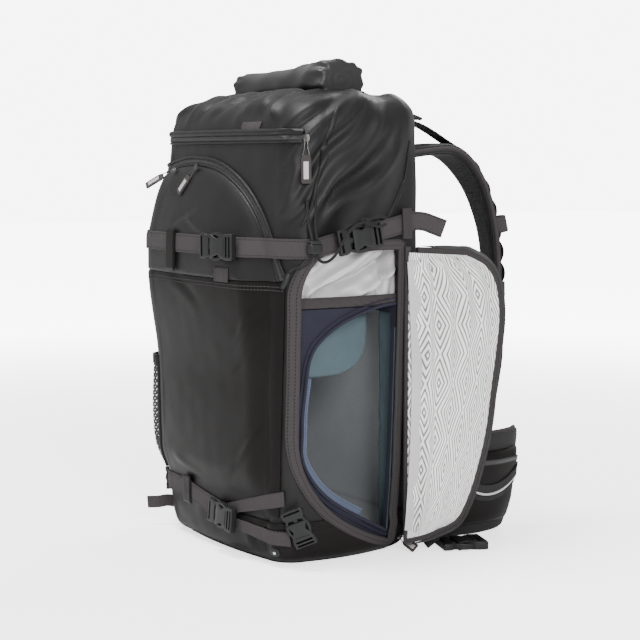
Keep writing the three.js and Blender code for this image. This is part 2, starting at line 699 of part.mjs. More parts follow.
// Side release buckle, lying in its own xy plane, with its fastening along x
function buckle(length = BUCKLE_LENGTH, width = BUCKLE_WIDTH, thickness = BUCKLE_THICKNESS) {
  const [l, w] = [length / 2, width / 2];
  const outline = new THREE.Shape();
  outline.moveTo(-l, -0.8 * w);
  outline.lineTo(-0.3 * l, -0.9 * w);
  outline.quadraticCurveTo(-0.05 * l, -0.55 * w, 0.22 * l, -0.72 * w);
  outline.lineTo(0.42 * l, -w);
  outline.lineTo(l, -0.82 * w);
  outline.lineTo(l, 0.82 * w);
  outline.lineTo(0.42 * l, w);
  outline.lineTo(0.22 * l, 0.72 * w);
  outline.quadraticCurveTo(-0.05 * l, 0.55 * w, -0.3 * l, 0.9 * w);
  outline.lineTo(-l, 0.8 * w);
  const geometry = new THREE.ExtrudeGeometry(outline, { depth: thickness, bevelEnabled: false, curveSegments: 3 });
  geometry.translate(0, 0, -thickness / 2);
  const slotAt = (x) => boxBetween([x - 1.6, -0.6 * w, -thickness], [x + 1.6, 0.6 * w, thickness]);
  return geometryOf(solidOf(geometry).subtract(slotAt(-0.82 * l)).subtract(slotAt(0.82 * l)));
}

// Where a layer's outside lies at a place: across the front at (x, z), or on a side at (y, z)
function frontAt(solid, x, z) {
  return solid.intersect(boxBetween([x - 1, -FAR, z - 1], [x + 1, 0, z + 1])).boundingBox().min[1];
}
function rightAt(solid, y, z) {
  return solid.intersect(boxBetween([0, y - 1, z - 1], [FAR, y + 1, z + 1])).boundingBox().max[0];
}
const strapTop = envelope(GAP + WEBBING, 'straps');

// Places a flat piece with its own x along one direction and its own z out of the bag
function lay(mesh, at, along, out) {
  const x = along.clone().addScaledVector(out, -along.dot(out)).normalize();
  const basis = new THREE.Matrix4().makeBasis(x, new THREE.Vector3().crossVectors(out, x), out);
  mesh.quaternion.setFromRotationMatrix(basis);
  mesh.position.copy(at);
  return mesh;
}

// A flat piece laid on the bag between two places (x, z) of its front. A turn about Z says which
// way the bag is faced: 0 its front, 90 its right side, where x runs towards the back.
function layOn(mesh, from, to, thickness, turn = 0, layer = strapTop) {
  const solid = layer.rotate([0, 0, -turn]);
  const [a, b] = [from, to].map(([x, z]) => point(x, frontAt(solid, x, z), z));
  const along = b.clone().sub(a);
  const level = Math.abs(along.x) > Math.abs(along.z);
  const out = new THREE.Vector3().crossVectors(along, level ? point(0, 0, 1) : point(1, 0, 0)).normalize();
  if (out.y > 0) out.negate();
  const proud = [0, 0.25, 0.5, 0.75, 1].map((t) => {
    const p = a.clone().lerp(b, t);
    return (frontAt(solid, p.x, p.z) - p.y) * out.y;
  });
  const middle = a.clone().lerp(b, 0.5).addScaledVector(out, Math.max(...proud) + thickness / 2 + GAP);
  const spin = new THREE.Matrix4().makeRotationZ(THREE.MathUtils.degToRad(turn));
  return lay(mesh, middle.applyMatrix4(spin), along.transformDirection(spin), out.transformDirection(spin));
}

// A mesh as a solid where it is placed
function placed(mesh) {
  mesh.updateMatrix();
  return solidOf(mesh.geometry.clone().applyMatrix4(mesh.matrix));
}

// Moves a piece along its own z until it just clears its neighbours
function seat(mesh, ...neighbours) {
  const others = neighbours.map((name) => placed(bag.getObjectByName(name))).reduce((a, b) => a.add(b));
  const out = point(0, 0, 1).applyQuaternion(mesh.quaternion);
  for (let i = 0; i < 100 && placed(mesh).minGap(others, 1) < 0.75 * GAP; i++) {
    mesh.position.addScaledVector(out, GAP / 2);
  }
  return mesh;
}

seat(roll, 'bag_body');
const half = BUCKLE_LENGTH / 2;
const SIDE_BUCKLE_Y = -12;
seat(layOn(
  addMesh('upper_buckle_front', 'plastic', buckle()),
  [UPPER_BUCKLE_X - half, UPPER_STRAP_Z], [UPPER_BUCKLE_X + half, UPPER_STRAP_Z], BUCKLE_THICKNESS,
), 'upper_strap_front', 'upper_strap_side');
seat(layOn(
  addMesh('upper_buckle_side', 'plastic', buckle()),
  [SIDE_BUCKLE_Y - half, upperLine(SIDE_BUCKLE_Y - half)],
  [SIDE_BUCKLE_Y + half, upperLine(SIDE_BUCKLE_Y + half)], BUCKLE_THICKNESS, 90,
), 'upper_strap_side');
const LOWER_BUCKLE = { length: 46, width: 28 };
const lowerStraps = ['lower_strap_left', 'lower_strap_upper_run', 'lower_strap_lower_run'];
seat(layOn(
  addMesh('lower_buckle_front', 'plastic', buckle(LOWER_BUCKLE.length, LOWER_BUCKLE.width)),
  [LOWER_BUCKLE_X - LOWER_BUCKLE.length / 2, LOWER_BUCKLE_Z + 3],
  [LOWER_BUCKLE_X + LOWER_BUCKLE.length / 2, LOWER_BUCKLE_Z - 3], BUCKLE_THICKNESS,
), ...lowerStraps, 'base_panel');
// Across the corner, where both runs of the lower strap meet
const CORNER_TURN = 48;
seat(layOn(
  addMesh('lower_buckle_corner', 'plastic', buckle(LOWER_BUCKLE.length, LOWER_BUCKLE.width)),
  [32, 68], [36, 68 - LOWER_BUCKLE.length], BUCKLE_THICKNESS, CORNER_TURN,
), ...lowerStraps, 'base_panel', 'stash_pocket', 'door_zip_tape');

// Keepers and tabs: short folded bands sewn to what lies under them
function patchOn(name, finish, layer, thickness, zone) {
  const lift = layer === 'straps' ? GAP + WEBBING : 0;
  const shell = envelope(lift + GAP + thickness, layer).subtract(envelope(lift + GAP, layer));
  return addMesh(name, finish, geometryOf(mainBodyOf(shell.intersect(zone))));
}
const KEEPER_X = -56;
patchOn('strap_keeper_front', 'coated', 'straps', 2, boxBetween(
  [KEEPER_X - 10, -FAR, UPPER_STRAP_Z - 30], [KEEPER_X + 10, 0, UPPER_STRAP_Z + 14],
));
patchOn('strap_keeper_side', 'webbing', 'straps', 2.4, boxBetween(
  [60, STRAP_BACK_Y - 12, upperLine(STRAP_BACK_Y) - 17], [FAR, STRAP_BACK_Y - 1, upperLine(STRAP_BACK_Y) + 14],
));
const TAB_Z = [STASH_TOP - 3, STASH_TOP + 12];
patchOn('pocket_tab', 'webbing', 'pockets', 1.6, boxBetween([34, -FAR, TAB_Z[0]], [60, -20, TAB_Z[1]]));
const BROW_SEAM_Z = BROW_ZIP_Z + 15;
patchOn('brow_tab', 'webbing', 'bare', 1.6, boxBetween([40, -FAR, BROW_SEAM_Z - 8], [72, -20, BROW_SEAM_Z + 1]));

// The loose end of the upper strap, standing off behind the side
const flagAt = upperLine(STRAP_BACK_Y) + 1;
const flagX = rightAt(strapTop, STRAP_BACK_Y - 3, flagAt - 3) - WEBBING / 2;
addMesh('upper_strap_end', 'webbing', geometryOf(sweptBand(stationsAlong([
  point(flagX, STRAP_BACK_Y + 2 * GAP, flagAt),
  point(flagX + 2, STRAP_BACK_Y + 16, flagAt - 1),
  point(flagX + 4, STRAP_BACK_Y + 28, flagAt - 5),
  point(flagX + 9, STRAP_BACK_Y + 38, flagAt - 9),
], () => point(0, 0.12, 1), 6), WEB_WIDTH, WEBBING)));

// The padded insert: a box within the body, open towards the door
const INSERT_CLEAR = CLOTH + 3 * GAP;
const INSERT_BOTTOM = 7;
const insertOutside = envelope(-INSERT_CLEAR, 'bare', PLAIN_ROWS).intersect(boxBetween([-FAR, -FAR, INSERT_BOTTOM], [FAR, FAR, INSERT_TOP]));
const insertInside = envelope(-INSERT_CLEAR - INSERT_WALL, 'bare', PLAIN_ROWS)
  .intersect(boxBetween([-FAR, -FAR, INSERT_BOTTOM + INSERT_WALL], [FAR, FAR, INSERT_TOP - INSERT_WALL]));
const INSERT_MOUTH = [
  // along Y from the hinge as a share of the opening's width, height as a share of the opening's
  [-0.02, 0.8],
  [-0.36, 0.745],
  [-0.66, 0.65],
  [-0.82, 0.51],
  [-0.9, 0.34],
  [-0.89, 0.2],
  [-0.62, 0.135],
  [-0.02, 0.03],
];
const mouthCurve = new THREE.SplineCurve(INSERT_MOUTH.map(([y, z]) =>
  new THREE.Vector2(HINGE_Y + y * OPENING_WIDTH, OPENING_BOTTOM + z * (OPENING_TOP - OPENING_BOTTOM))));
const insertMouth = prismAlong('x', mouthCurve.getPoints(16).map((p) => [p.x, p.y]), ...DOOR_REACH);
addMesh('insert_shell', 'insert', geometryOf(mainBodyOf(insertOutside.subtract(insertInside).subtract(insertMouth))));

// Dividers in the insert, cut to its inside
const cellFloor = INSERT_BOTTOM + INSERT_WALL;
const room = envelope(-INSERT_CLEAR - INSERT_WALL - GAP, 'bare', PLAIN_ROWS)
  .intersect(boxBetween([-FAR, -FAR, cellFloor + GAP], [FAR, FAR, INSERT_TOP - INSERT_WALL - GAP]));
const divider = (name, solid) => addMesh(name, 'divider', geometryOf(mainBodyOf(solid.intersect(room))));
const upperPad = new THREE.Shape();
upperPad.moveTo(-48, INSERT_TOP - 2);
upperPad.lineTo(-48, INSERT_TOP - 48);
upperPad.quadraticCurveTo(-46, INSERT_TOP - 72, -22, INSERT_TOP - 71);
upperPad.lineTo(2, INSERT_TOP - 69);
upperPad.quadraticCurveTo(26, INSERT_TOP - 66, 30, INSERT_TOP - 40);
upperPad.lineTo(31, INSERT_TOP - 2);
divider('divider_upper', prismAlong('x', upperPad.getPoints(4).map((p) => [p.x, p.y]), 96, 96 + DIVIDER));
divider('divider_back', boxBetween([97, HINGE_Y + 3, 0], [FAR, HINGE_Y + 3 + DIVIDER, FAR]));
divider('divider_lower', boxBetween([10, -34, 0], [FAR, HINGE_Y - 12, cellFloor + GAP + DIVIDER]));

// White lining that hangs behind the top of the door opening, with its gathered hem
const LINING = 2;
const HEM = 4;
const HEM_TOP = OPENING_TOP - 47;
const liningShell = (thickness) => envelope(-CLOTH - GAP).subtract(envelope(-CLOTH - GAP - thickness));
const liningZone = (low, high) => boxBetween([60, HINGE_Y - OPENING_WIDTH - 6, low], [FAR, HINGE_Y + 4, high]);
addMesh('lining_panel', 'lining', geometryOf(mainBodyOf(liningShell(LINING).intersect(liningZone(HEM_TOP, OPENING_TOP + 28)))));
addMesh('lining_hem', 'webbing', geometryOf(mainBodyOf(liningShell(HEM).intersect(liningZone(HEM_TOP - 9, HEM_TOP - GAP)))));

// Back panel padding
const PAD_HALF = HALF_WIDTH - 39;
const backShell = envelope(GAP + BACK_PAD).subtract(clearOfBody);
addMesh('back_pad', 'padding', geometryOf(mainBodyOf(
  backShell.intersect(boxBetween([-PAD_HALF, BACK_REACH - CORNER_RADIUS, BASE_TOP + GAP], [PAD_HALF, FAR, BODY_HEIGHT - 48])),
)));
const BACK_FACE = BACK_REACH + GAP + BACK_PAD;

// Shoulder straps. Each row: x, y, z of the middle of the pad, from the bag downwards
const STRAP_PATH = [
  [58, BACK_FACE + 5 * GAP, BODY_HEIGHT - 59],
  [58, BACK_FACE + 14, BODY_HEIGHT - 57],
  [66, BACK_FACE + 61, BODY_HEIGHT - 56],
  [71, BACK_FACE + 94, BODY_HEIGHT - 86],
  [77, BACK_FACE + 112, BODY_HEIGHT - 134],
  [81, BACK_FACE + 117, BODY_HEIGHT - 184],
  [84, BACK_FACE + 115, BODY_HEIGHT - 234],
];
const WEBBING_PATH = [
  [84.5, BACK_FACE + 115, BODY_HEIGHT - 235.5],
  [88, BACK_FACE + 124, BODY_HEIGHT - 262],
  [92, BACK_FACE + 118, BODY_HEIGHT - 302],
  [92, BACK_FACE + 96, 112],
  [70, BACK_FACE + 50, 68],
  [42, BACK_FACE + 5, 56],
];
const sides = { right: 1, left: -1 };
// The strap of the left shoulder lies closer to the back
const LEFT_REACH = 0.76;

function harnessPoint([x, y, z], side) {
  const reach = side === 1 ? 1 : LEFT_REACH;
  return point(x * side, BACK_FACE + (y - BACK_FACE) * reach, z);
}

for (const [word, side] of Object.entries(sides)) {
  const across = (t) => point(side, -0.45 * smooth(t, 0, 0.8), 0);
  const path = STRAP_PATH.map((row) => harnessPoint(row, side));
  const stations = stationsAlong(path, across, 13, (t) => 1 - 0.22 * smooth(t, 0.75, 1) - 0.1 * (1 - smooth(t, 0, 0.2)));
  addMesh(`shoulder_strap_${word}`, 'padding', geometryOf(sweptBand(stations, STRAP_PAD_WIDTH, STRAP_PAD, true)));

  // Webbing from the pad's end down to the foot of the bag
  const low = WEBBING_PATH.map((row) => harnessPoint(row, side));
  low[low.length - 1].y = BACK_FACE + 6.2 - 0.4 * side;
  addMesh(`strap_webbing_${word}`, 'webbing', geometryOf(
    sweptBand(stationsAlong(low, () => point(side, -0.45, 0), 10), WEB_WIDTH, WEBBING)));

  // Adjuster at the pad's end, on its outer face
  const last = stations[stations.length - 2];
  const outer = last.out.clone().multiplyScalar(last.out.y > 0 ? 1 : -1);
  const adjuster = addMesh(`strap_adjuster_${word}`, 'plastic', buckle(34, 26, 5));
  lay(adjuster, last.at.clone().addScaledVector(outer, STRAP_PAD / 2), point(0, 0, -1), outer);
  seat(adjuster, `shoulder_strap_${word}`, `strap_webbing_${word}`);

  // Load lifter: webbing over the shoulder from the top of the back to the pad
  const onPad = [3, 4, 5].map((i) => {
    const station = stations[i];
    const out = station.out.clone().multiplyScalar(station.out.y + station.out.z > 0 ? 1 : -1);
    return station.at.clone().addScaledVector(out, STRAP_PAD / 2 + WEBBING / 2 + 4.6 * GAP);
  });
  const hook = point(side * 62, BACK_FACE - 8, BODY_HEIGHT - 19);
  const lifter = stationsAlong([hook, hook.clone().lerp(onPad[0], 0.5).add(point(0, 0, 4)), ...onPad], () => point(side, 0, 0), 8);
  addMesh(`load_lifter_${word}`, 'webbing', geometryOf(sweptBand(lifter, WEB_WIDTH, WEBBING)));
  const first = lifter[1];
  const up = first.out.clone().multiplyScalar(first.out.z > 0 ? 1 : -1);
  const ladder = addMesh(`lifter_buckle_${word}`, 'plastic', buckle(34, 26, 5));
  lay(ladder, first.at.clone().addScaledVector(up, 2.5 + WEBBING / 2), lifter[2].at.clone().sub(lifter[0].at), up);
  seat(ladder, `load_lifter_${word}`, 'bag_body', 'back_pad');
}

// Hip belt wings. Each row: distance out from the middle and back from the back pad, lean outwards
const WING_PATH = [
  [70, 7],
  [96, 9],
  [111, 24],
  [116, 50],
  [118, 82],
  [109, 114],
  [88, 136],
];
const WING_LEAN = 0.16;
for (const [word, side] of Object.entries(sides)) {
  const reach = side === 1 ? 1 : 0.86;
  const path = WING_PATH.map(([x, y]) => point(side * x, BACK_FACE + 7 + (y - 7) * reach + GAP, BELT_HEIGHT / 2 + 1));
  const stations = stationsAlong(path, () => point(side * WING_LEAN, 0.04, 1), 12,
    (t) => 1 - 0.5 * smooth(t, 0.85, 1.1) - 0.12 * (1 - smooth(t, 0, 0.2)));
  addMesh(`hip_wing_${word}`, 'padding', geometryOf(sweptBand(stations, BELT_HEIGHT, BELT_PAD, true)));

  // Pocket on the outside of the wing, open along its top
  const outwards = (station) => station.out.clone().multiplyScalar(station.out.x * side > 0 ? 1 : -1);
  const pocketStations = stations.slice(4, 11);
  const band = (height, thickness, lift, drop, from, to) => sweptBand(pocketStations.slice(from, to).map((station) => ({
    ...station,
    at: station.at.clone().addScaledVector(outwards(station), BELT_PAD / 2 + lift + thickness / 2).addScaledVector(station.across, drop),
    share: 1,
  })), height, thickness);
  const pouch = band(84, BELT_POCKET, 2 * GAP, -3, 0, 7).subtract(band(84, BELT_POCKET - 2 * CLOTH, 2 * GAP + CLOTH, 2, 1, 6));
  addMesh(`hip_pocket_${word}`, 'coated', geometryOf(mainBodyOf(pouch)));
}

// Webbing and clip half of the hip belt, lying on the floor by the right wing
const CLIP = { length: 50, width: 40, thickness: 9 };
const clipWay = point(0.35, 0.94, 0).normalize();
const beltEnd = point(134, BACK_FACE - 2, CLIP.thickness / 2 + 1.5);
addMesh('hip_webbing_right', 'webbing', geometryOf(sweptBand(stationsAlong([
  point(116, BACK_FACE + 16, 40),
  point(120, BACK_FACE + 6, 24),
  point(127, BACK_FACE - 3, 12),
  beltEnd,
], () => point(0.8, 0.6, 0), 6), 18, WEBBING)));
const clip = addMesh('hip_buckle_right', 'plastic', buckle(CLIP.length, CLIP.width, CLIP.thickness));
clip.position.copy(beltEnd).addScaledVector(clipWay, CLIP.length / 2 + 5.2).setZ(CLIP.thickness / 2 + GAP / 2);
clip.rotation.z = Math.atan2(clipWay.y, clipWay.x);

// Haul loop at the top of the back
addMesh('haul_loop', 'webbing', geometryOf(sweptBand(stationsAlong([
  point(-44, BACK_REACH + 1.4, BODY_HEIGHT - 34),
  point(-30, BACK_REACH + 9, BODY_HEIGHT - 21),
  point(0, BACK_REACH + 17, BODY_HEIGHT - 12),
  point(30, BACK_REACH + 9, BODY_HEIGHT - 21),
  point(44, BACK_REACH + 1.4, BODY_HEIGHT - 34),
], () => point(0, 0.2, 1), 10), WEB_WIDTH, 3)));

// Mesh pocket on the left side, open at the top under its elastic
const meshShell = shellOver('mesh', 1.6);
const meshZone = (low, high) => boxBetween([-FAR, -90, low], [-62, 66, high]);
addMesh('mesh_pocket', 'mesh', geometryOf(mainBodyOf(meshShell.intersect(meshZone(MESH_BOTTOM + 26, MESH_TOP - 10 - GAP)))));
addMesh('pocket_elastic', 'webbing', geometryOf(mainBodyOf(shellOver('mesh', 3).intersect(meshZone(MESH_TOP - 10, MESH_TOP)))));

// Zip pulls: a metal link with a cloth tab, hanging flat on the bag
function zipPull(length) {
  const shape = new THREE.Shape();
  const link = 0.36 * length;
  shape.moveTo(-1.2, 0);
  shape.lineTo(1.2, 0);
  shape.lineTo(3.4, -3);
  shape.lineTo(1.8, -link);
  shape.lineTo(4.5, -link - 2);
  shape.lineTo(4.5, -length + 1.5);
  shape.lineTo(3, -length);
  shape.lineTo(-3, -length);
  shape.lineTo(-4.5, -length + 1.5);
  shape.lineTo(-4.5, -link - 2);
  shape.lineTo(-1.8, -link);
  shape.lineTo(-3.4, -3);
  const eye = new THREE.Path([[-1.6, -3.2], [0, -link + 3], [1.6, -3.2]].map(([x, y]) => new THREE.Vector2(x, y)));
  shape.holes.push(eye);
  const geometry = new THREE.ExtrudeGeometry(shape, { depth: 2.4, bevelEnabled: false });
  geometry.rotateZ(Math.PI / 2);
  geometry.translate(-length / 2, 0, -1.2);
  return geometryOf(solidOf(geometry));
}
const zipTop = dressed.add(envelope(GAP + ZIP_RAISED));
const pulls = [
  // name, top (x, z), bottom (x, z), turn of the place that it hangs on
  ['brow_pull', [41, BROW_ZIP_Z], [42, BROW_ZIP_Z - 45], 48],
  ['arch_pull', [-34, ARCH_TOP - 1], [-58, ARCH_TOP - 30], 0],
];
for (const [name, top, low, turn] of pulls) {
  const length = Math.hypot(top[0] - low[0], top[1] - low[1]);
  layOn(addMesh(name, 'metal', zipPull(length)), top, low, 2.4, turn, zipTop);
}

// Two pulls that stand off: at the left of the arch, and at the foot of the door opening
{
  const along = point(-0.6, -0.6, -0.5).normalize();
  const top = point(-87, frontAt(zipTop, -87, ARCH_TOP - 4) - 1.2, ARCH_TOP - 4);
  lay(addMesh('arch_pull_loose', 'metal', zipPull(36)), top.addScaledVector(along, 18.4), along, point(0.2, -0.7, 0.6).normalize());
  const foot = point(118.2, 61, 16.5);
  const down = point(0.12, 0.75, -0.45).normalize();
  lay(addMesh('door_pull', 'metal', zipPull(24)), foot.addScaledVector(down, 12), down, point(0.9, -0.1, 0.1).normalize());
}

// A round tube through points, closed at both ends
function tubeAlong(points, radius, count, sides = 5) {
  const curve = new THREE.CatmullRomCurve3(points, false, 'centripetal');
  const frames = curve.computeFrenetFrames(count, false);
  const rings = Array.from({ length: count + 1 }, (_, i) => {
    const at = curve.getPointAt(i / count);
    return Array.from({ length: sides }, (_, k) => {
      const a = (k / sides) * Math.PI * 2;
      return at.clone()
        .addScaledVector(frames.normals[i], radius * Math.cos(a))
        .addScaledVector(frames.binormals[i], radius * Math.sin(a));
    });
  });
  return skin(rings);
}

// Two elastic cords on the right front corner, drawn through one cord lock. Their heights are
// written for an upper strap at CORD_STRAP_Z, and they move with it.
const CORD_STRAP_Z = 323;
const cordPoint = ([x, y, z]) => point(x, y, z + UPPER_STRAP_Z - CORD_STRAP_Z);
const CORD = 3;
const SHORT_CORD = [
  [137, -66, 371], [137.3, -66, 365.5], [137.9, -66.2, 360], [139, -66.4, 354.5],
  [140.6, -66.7, 349], [142.6, -67, 344], [144.9, -67.2, 339.5], [147.1, -67.2, 335],
  [148, -67.2, 330.5], [148, -67.2, 325], [148, -67.2, 319.5], [147.4, -67.8, 314.5],
  [145.4, -70, 310], [142, -73.5, 306.8], [138.2, -77.5, 304.9], [134.8, -81.3, 303.2],
  [132.6, -84.2, 300],
].map(cordPoint);
const LONG_CORD = [
  [140, -58, 371], [140.2, -58.3, 365], [140.7, -58.8, 359], [141.6, -59.5, 353],
  [143, -60.5, 347], [145, -61.4, 341], [147.1, -61.8, 335.5], [148, -61.8, 330],
  [148, -61.8, 324], [148, -61.8, 318.5], [148.6, -60.2, 313.5], [150, -56.5, 310.5],
  [152, -51.8, 311], [154.2, -47.4, 314.5], [156.4, -43.4, 320], [158, -39.6, 327],
  [158.8, -35.6, 334], [158.8, -30.6, 340], [158.6, -24.8, 344.5], [158.2, -18.4, 347.5],
  [157.8, -11.6, 349],
].map(cordPoint);
addMesh('cord_short', 'mesh', geometryOf(tubeAlong(SHORT_CORD, CORD / 2, 18)));
addMesh('cord_long', 'mesh', geometryOf(tubeAlong(LONG_CORD, CORD / 2, 22)));

const LOCK = { middle: cordPoint([148, -64.5, 325]), size: [9.6, 15, 13] };
const bore = (y) => solidOf(new THREE.CylinderGeometry(CORD / 2 + GAP, CORD / 2 + GAP, 30, 8)
  .rotateX(Math.PI / 2).translate(LOCK.middle.x, y, LOCK.middle.z));
const lockBox = solidOf(new THREE.BoxGeometry(...LOCK.size).translate(...LOCK.middle.toArray()));
addMesh('cord_lock', 'plastic', geometryOf(
  lockBox.subtract(bore(SHORT_CORD[9].y)).subtract(bore(LONG_CORD[8].y)),
));
const cordEnd = SHORT_CORD[SHORT_CORD.length - 1];
const endWay = cordEnd.clone().sub(SHORT_CORD[SHORT_CORD.length - 2]).normalize();
endWay.add(point(0, 0, -0.6)).normalize();
addMesh('cord_end', 'plastic', geometryOf(tubeAlong(
  [0.9, 4, 9, 14].map((d) => cordEnd.clone().addScaledVector(endWay, d).add(point(0, 0, -0.02 * d * d))), 2.6, 4,
)));

// At the left front corner: a buckle on the lower strap, and a webbing loop that stands off the base
seat(layOn(
  addMesh('left_buckle', 'plastic', buckle(26, 22, 6)),
  [2, LOWER_STRAP_Z + 10], [3, LOWER_STRAP_Z - 16], 6, -62,
), 'lower_strap_left', 'stash_pocket', 'mesh_pocket', 'base_panel');
{
  const turn = -37;
  const solid = envelope(GAP + BASE_CLOTH).rotate([0, 0, -turn]);
  const [x, z] = [-48, 27];
  const root = frontAt(solid, x, z) - 4.5 * GAP;
  const loop = addMesh('tripod_loop', 'webbing', geometryOf(sweptBand(stationsAlong([
    point(x, root, z), point(x - 1, root - 10, z + 1), point(x + 2, root - 20, z), point(x, root - 31, z - 1),
  ], () => point(0, 0, 1), 5), 14, 2 * WEBBING)));
  loop.rotation.z = THREE.MathUtils.degToRad(turn);
}

export default bag;
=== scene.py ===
import math

import bmesh
import bpy
import numpy as np
from mathutils import Matrix, Vector
from mathutils.bvhtree import BVHTree


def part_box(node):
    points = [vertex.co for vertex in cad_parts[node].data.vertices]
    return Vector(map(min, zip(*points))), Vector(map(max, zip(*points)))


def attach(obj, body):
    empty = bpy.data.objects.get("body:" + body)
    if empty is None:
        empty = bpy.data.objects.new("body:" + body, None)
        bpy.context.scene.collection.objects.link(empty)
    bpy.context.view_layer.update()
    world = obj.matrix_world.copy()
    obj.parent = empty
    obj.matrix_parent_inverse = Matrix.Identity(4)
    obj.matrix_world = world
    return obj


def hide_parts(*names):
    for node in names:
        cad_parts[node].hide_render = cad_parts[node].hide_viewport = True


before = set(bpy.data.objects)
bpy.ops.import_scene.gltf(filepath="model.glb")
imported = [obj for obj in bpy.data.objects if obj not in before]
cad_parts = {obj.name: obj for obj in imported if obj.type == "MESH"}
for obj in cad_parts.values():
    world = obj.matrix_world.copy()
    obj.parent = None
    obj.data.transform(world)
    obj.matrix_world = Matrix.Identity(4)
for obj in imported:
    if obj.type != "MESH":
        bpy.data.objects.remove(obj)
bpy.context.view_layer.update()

MM = 0.001
# A distance in mm that is outside the bag everywhere, and the reach in x of cuts in its right side
FAR = 400
SIDE_CUT = (60, 200)


# The surface of the bag

BODY_HEIGHT, HALF_WIDTH, FRONT_REACH, BACK_REACH, CORNER_RADIUS = 476, 135, 88, 84, 29
CLOTH, BASE_CLOTH, GAP, WEBBING, WEB_WIDTH = 2, 1.8, 0.4, 1.6, 20
SIDE_BOW = FRONT_BOW = 5
HINGE_Y, OPENING_WIDTH, OPENING_TOP, OPENING_BOTTOM, TAPE_OUT = 48, 121, 322, 12, 8
STASH_TOP, STASH_BOTTOM, STASH_DEPTH = 290, 52, 10
ARCH_TOP, ARCH_DEPTH, POCKET_EDGE, POCKET_RIGHT = 404, 20, 3, 121
FRONT_EDGE_X = 131
MESH_BOTTOM, MESH_BULGE = 42, 20
UPPER_STRAP_Z, UPPER_STRAP_RISE = 323, 24
STRAP_FLOOR = 2.2
BROW_ZIP_Z = 432

# Front height, back height, width, front, back and radius of each section, as shares
SECTIONS = np.array([
    [0.0, 0.0, 0.76, 0.82, 0.84, 0.9],
    [0.022, 0.02, 0.87, 0.95, 0.95, 1.0],
    [0.085, 0.085, 0.905, 0.99, 1.0, 1.0],
    [0.2, 0.2, 0.94, 1.0, 1.0, 1.0],
    [0.4, 0.4, 0.975, 1.0, 1.0, 1.0],
    [0.6, 0.6, 1.0, 0.99, 1.0, 1.0],
    [0.75, 0.755, 1.0, 0.96, 1.0, 1.0],
    [0.86, 0.87, 1.0, 0.915, 1.0, 1.0],
    [0.928, 0.945, 1.0, 0.87, 0.98, 1.05],
    [0.972, 0.975, 0.955, 0.74, 0.93, 1.0],
    [0.993, 0.99, 0.87, 0.5, 0.82, 0.9],
    [1.0, 1.0, 0.7, 0.18, 0.52, 0.6],
])
SECTION_SIZES = np.array([BODY_HEIGHT, BODY_HEIGHT, HALF_WIDTH, -FRONT_REACH, BACK_REACH, CORNER_RADIUS])

# Places round the bag are counted by stretch: 0 the front from left to right, 1 the right front
# corner, 2 the right side, 3 the right back corner, 4 the back, 5 the left back corner,
# 6 the left side and 7 the left front corner. A place of -1 is the same as 7.
STRETCHES = 8


def smooth(x, low, high):
    t = np.clip((np.asarray(x, float) - low) / (high - low), 0, 1)
    return t * t * (3 - 2 * t)


def mix(a, b, t):
    return a + (b - a) * t


def section_at(row):
    i = np.clip(np.floor(row).astype(int), 0, len(SECTIONS) - 2)
    t = (row - i)[..., None]
    p0, p1, p2, p3 = (SECTIONS[np.clip(i + n, 0, len(SECTIONS) - 1)] for n in (-1, 0, 1, 2))
    slope1, slope2 = (p2 - p0) / 2, (p3 - p1) / 2
    t2, t3 = t * t, t ** 3
    share = ((2 * t3 - 3 * t2 + 1) * p1 + (t3 - 2 * t2 + t) * slope1
             + (3 * t2 - 2 * t3) * p2 + (t3 - t2) * slope2)
    return share * SECTION_SIZES


def facing_angle(place):
    k = np.floor(place).astype(int) % STRETCHES
    t = place - np.floor(place)
    start = np.array([270, 270, 0, 0, 90, 90, 180, 180])[k]
    return np.radians(start + 90 * t * (k % 2))


def plan_point(section, place):
    _, _, half, front, back, r = np.moveaxis(section, -1, 0)
    k = np.floor(place).astype(int) % STRETCHES
    t = place - np.floor(place)
    bow = 4 * t * (1 - t)
    a = facing_angle(place)
    side = np.where((k >= 1) & (k <= 3), 1, -1)
    corner_x = side * (half - r) + r * np.cos(a)
    corner_y = np.where((k == 1) | (k == 7), front + r, back - r) + r * np.sin(a)
    x = np.select([k == 0, k == 2, k == 4, k == 6],
                  [mix(-half + r, half - r, t), half + SIDE_BOW * bow,
                   mix(half - r, -half + r, t), -half - SIDE_BOW * bow],
                  corner_x)
    y = np.select([k == 0, k == 2, k == 4, k == 6],
                  [front - FRONT_BOW * bow, mix(front + r, back - r, t),
                   back + 0 * t, mix(back - r, front + r, t)],
                  corner_y)
    return x, y


def bare_point(row, place):
    section = section_at(row)
    x, y = plan_point(section, place)
    share = (y - section[..., 3]) / (section[..., 4] - section[..., 3])
    z = mix(section[..., 0], section[..., 1], share) + BASE_CLOTH + GAP
    return np.stack([x, y, z], -1)


# Gathers of the cloth under the roll, as in the solid: side, from (depth, height) to
# (depth, height) in shares, width share and height
FOLDS = [
    (1, 0.1, 0.97, -0.75, 0.7, 0.09, 5),
    (1, 0.35, 0.97, -0.5, 0.67, 0.08, -4),
    (1, 0.6, 0.95, -0.15, 0.69, 0.08, 4.5),
    (1, 0.8, 0.88, 0.25, 0.7, 0.07, -3),
    (-1, 0.1, 0.97, -0.75, 0.7, 0.09, 4),
    (-1, 0.5, 0.96, -0.3, 0.68, 0.09, -4),
    (-1, 0.75, 0.9, 0.1, 0.7, 0.08, 4),
]


def away_from_line(a, b, a1, b1, a2, b2):
    """Distance from (a, b) to a segment, the share along it, and the signed distance to its line."""
    da, db = a2 - a1, b2 - b1
    t = ((a - a1) * da + (b - b1) * db) / (da * da + db * db)
    held = np.clip(t, 0, 1)
    signed = ((a - a1) * db - (b - b1) * da) / math.hypot(da, db)
    return np.hypot(a - a1 - held * da, b - b1 - held * db), t, signed


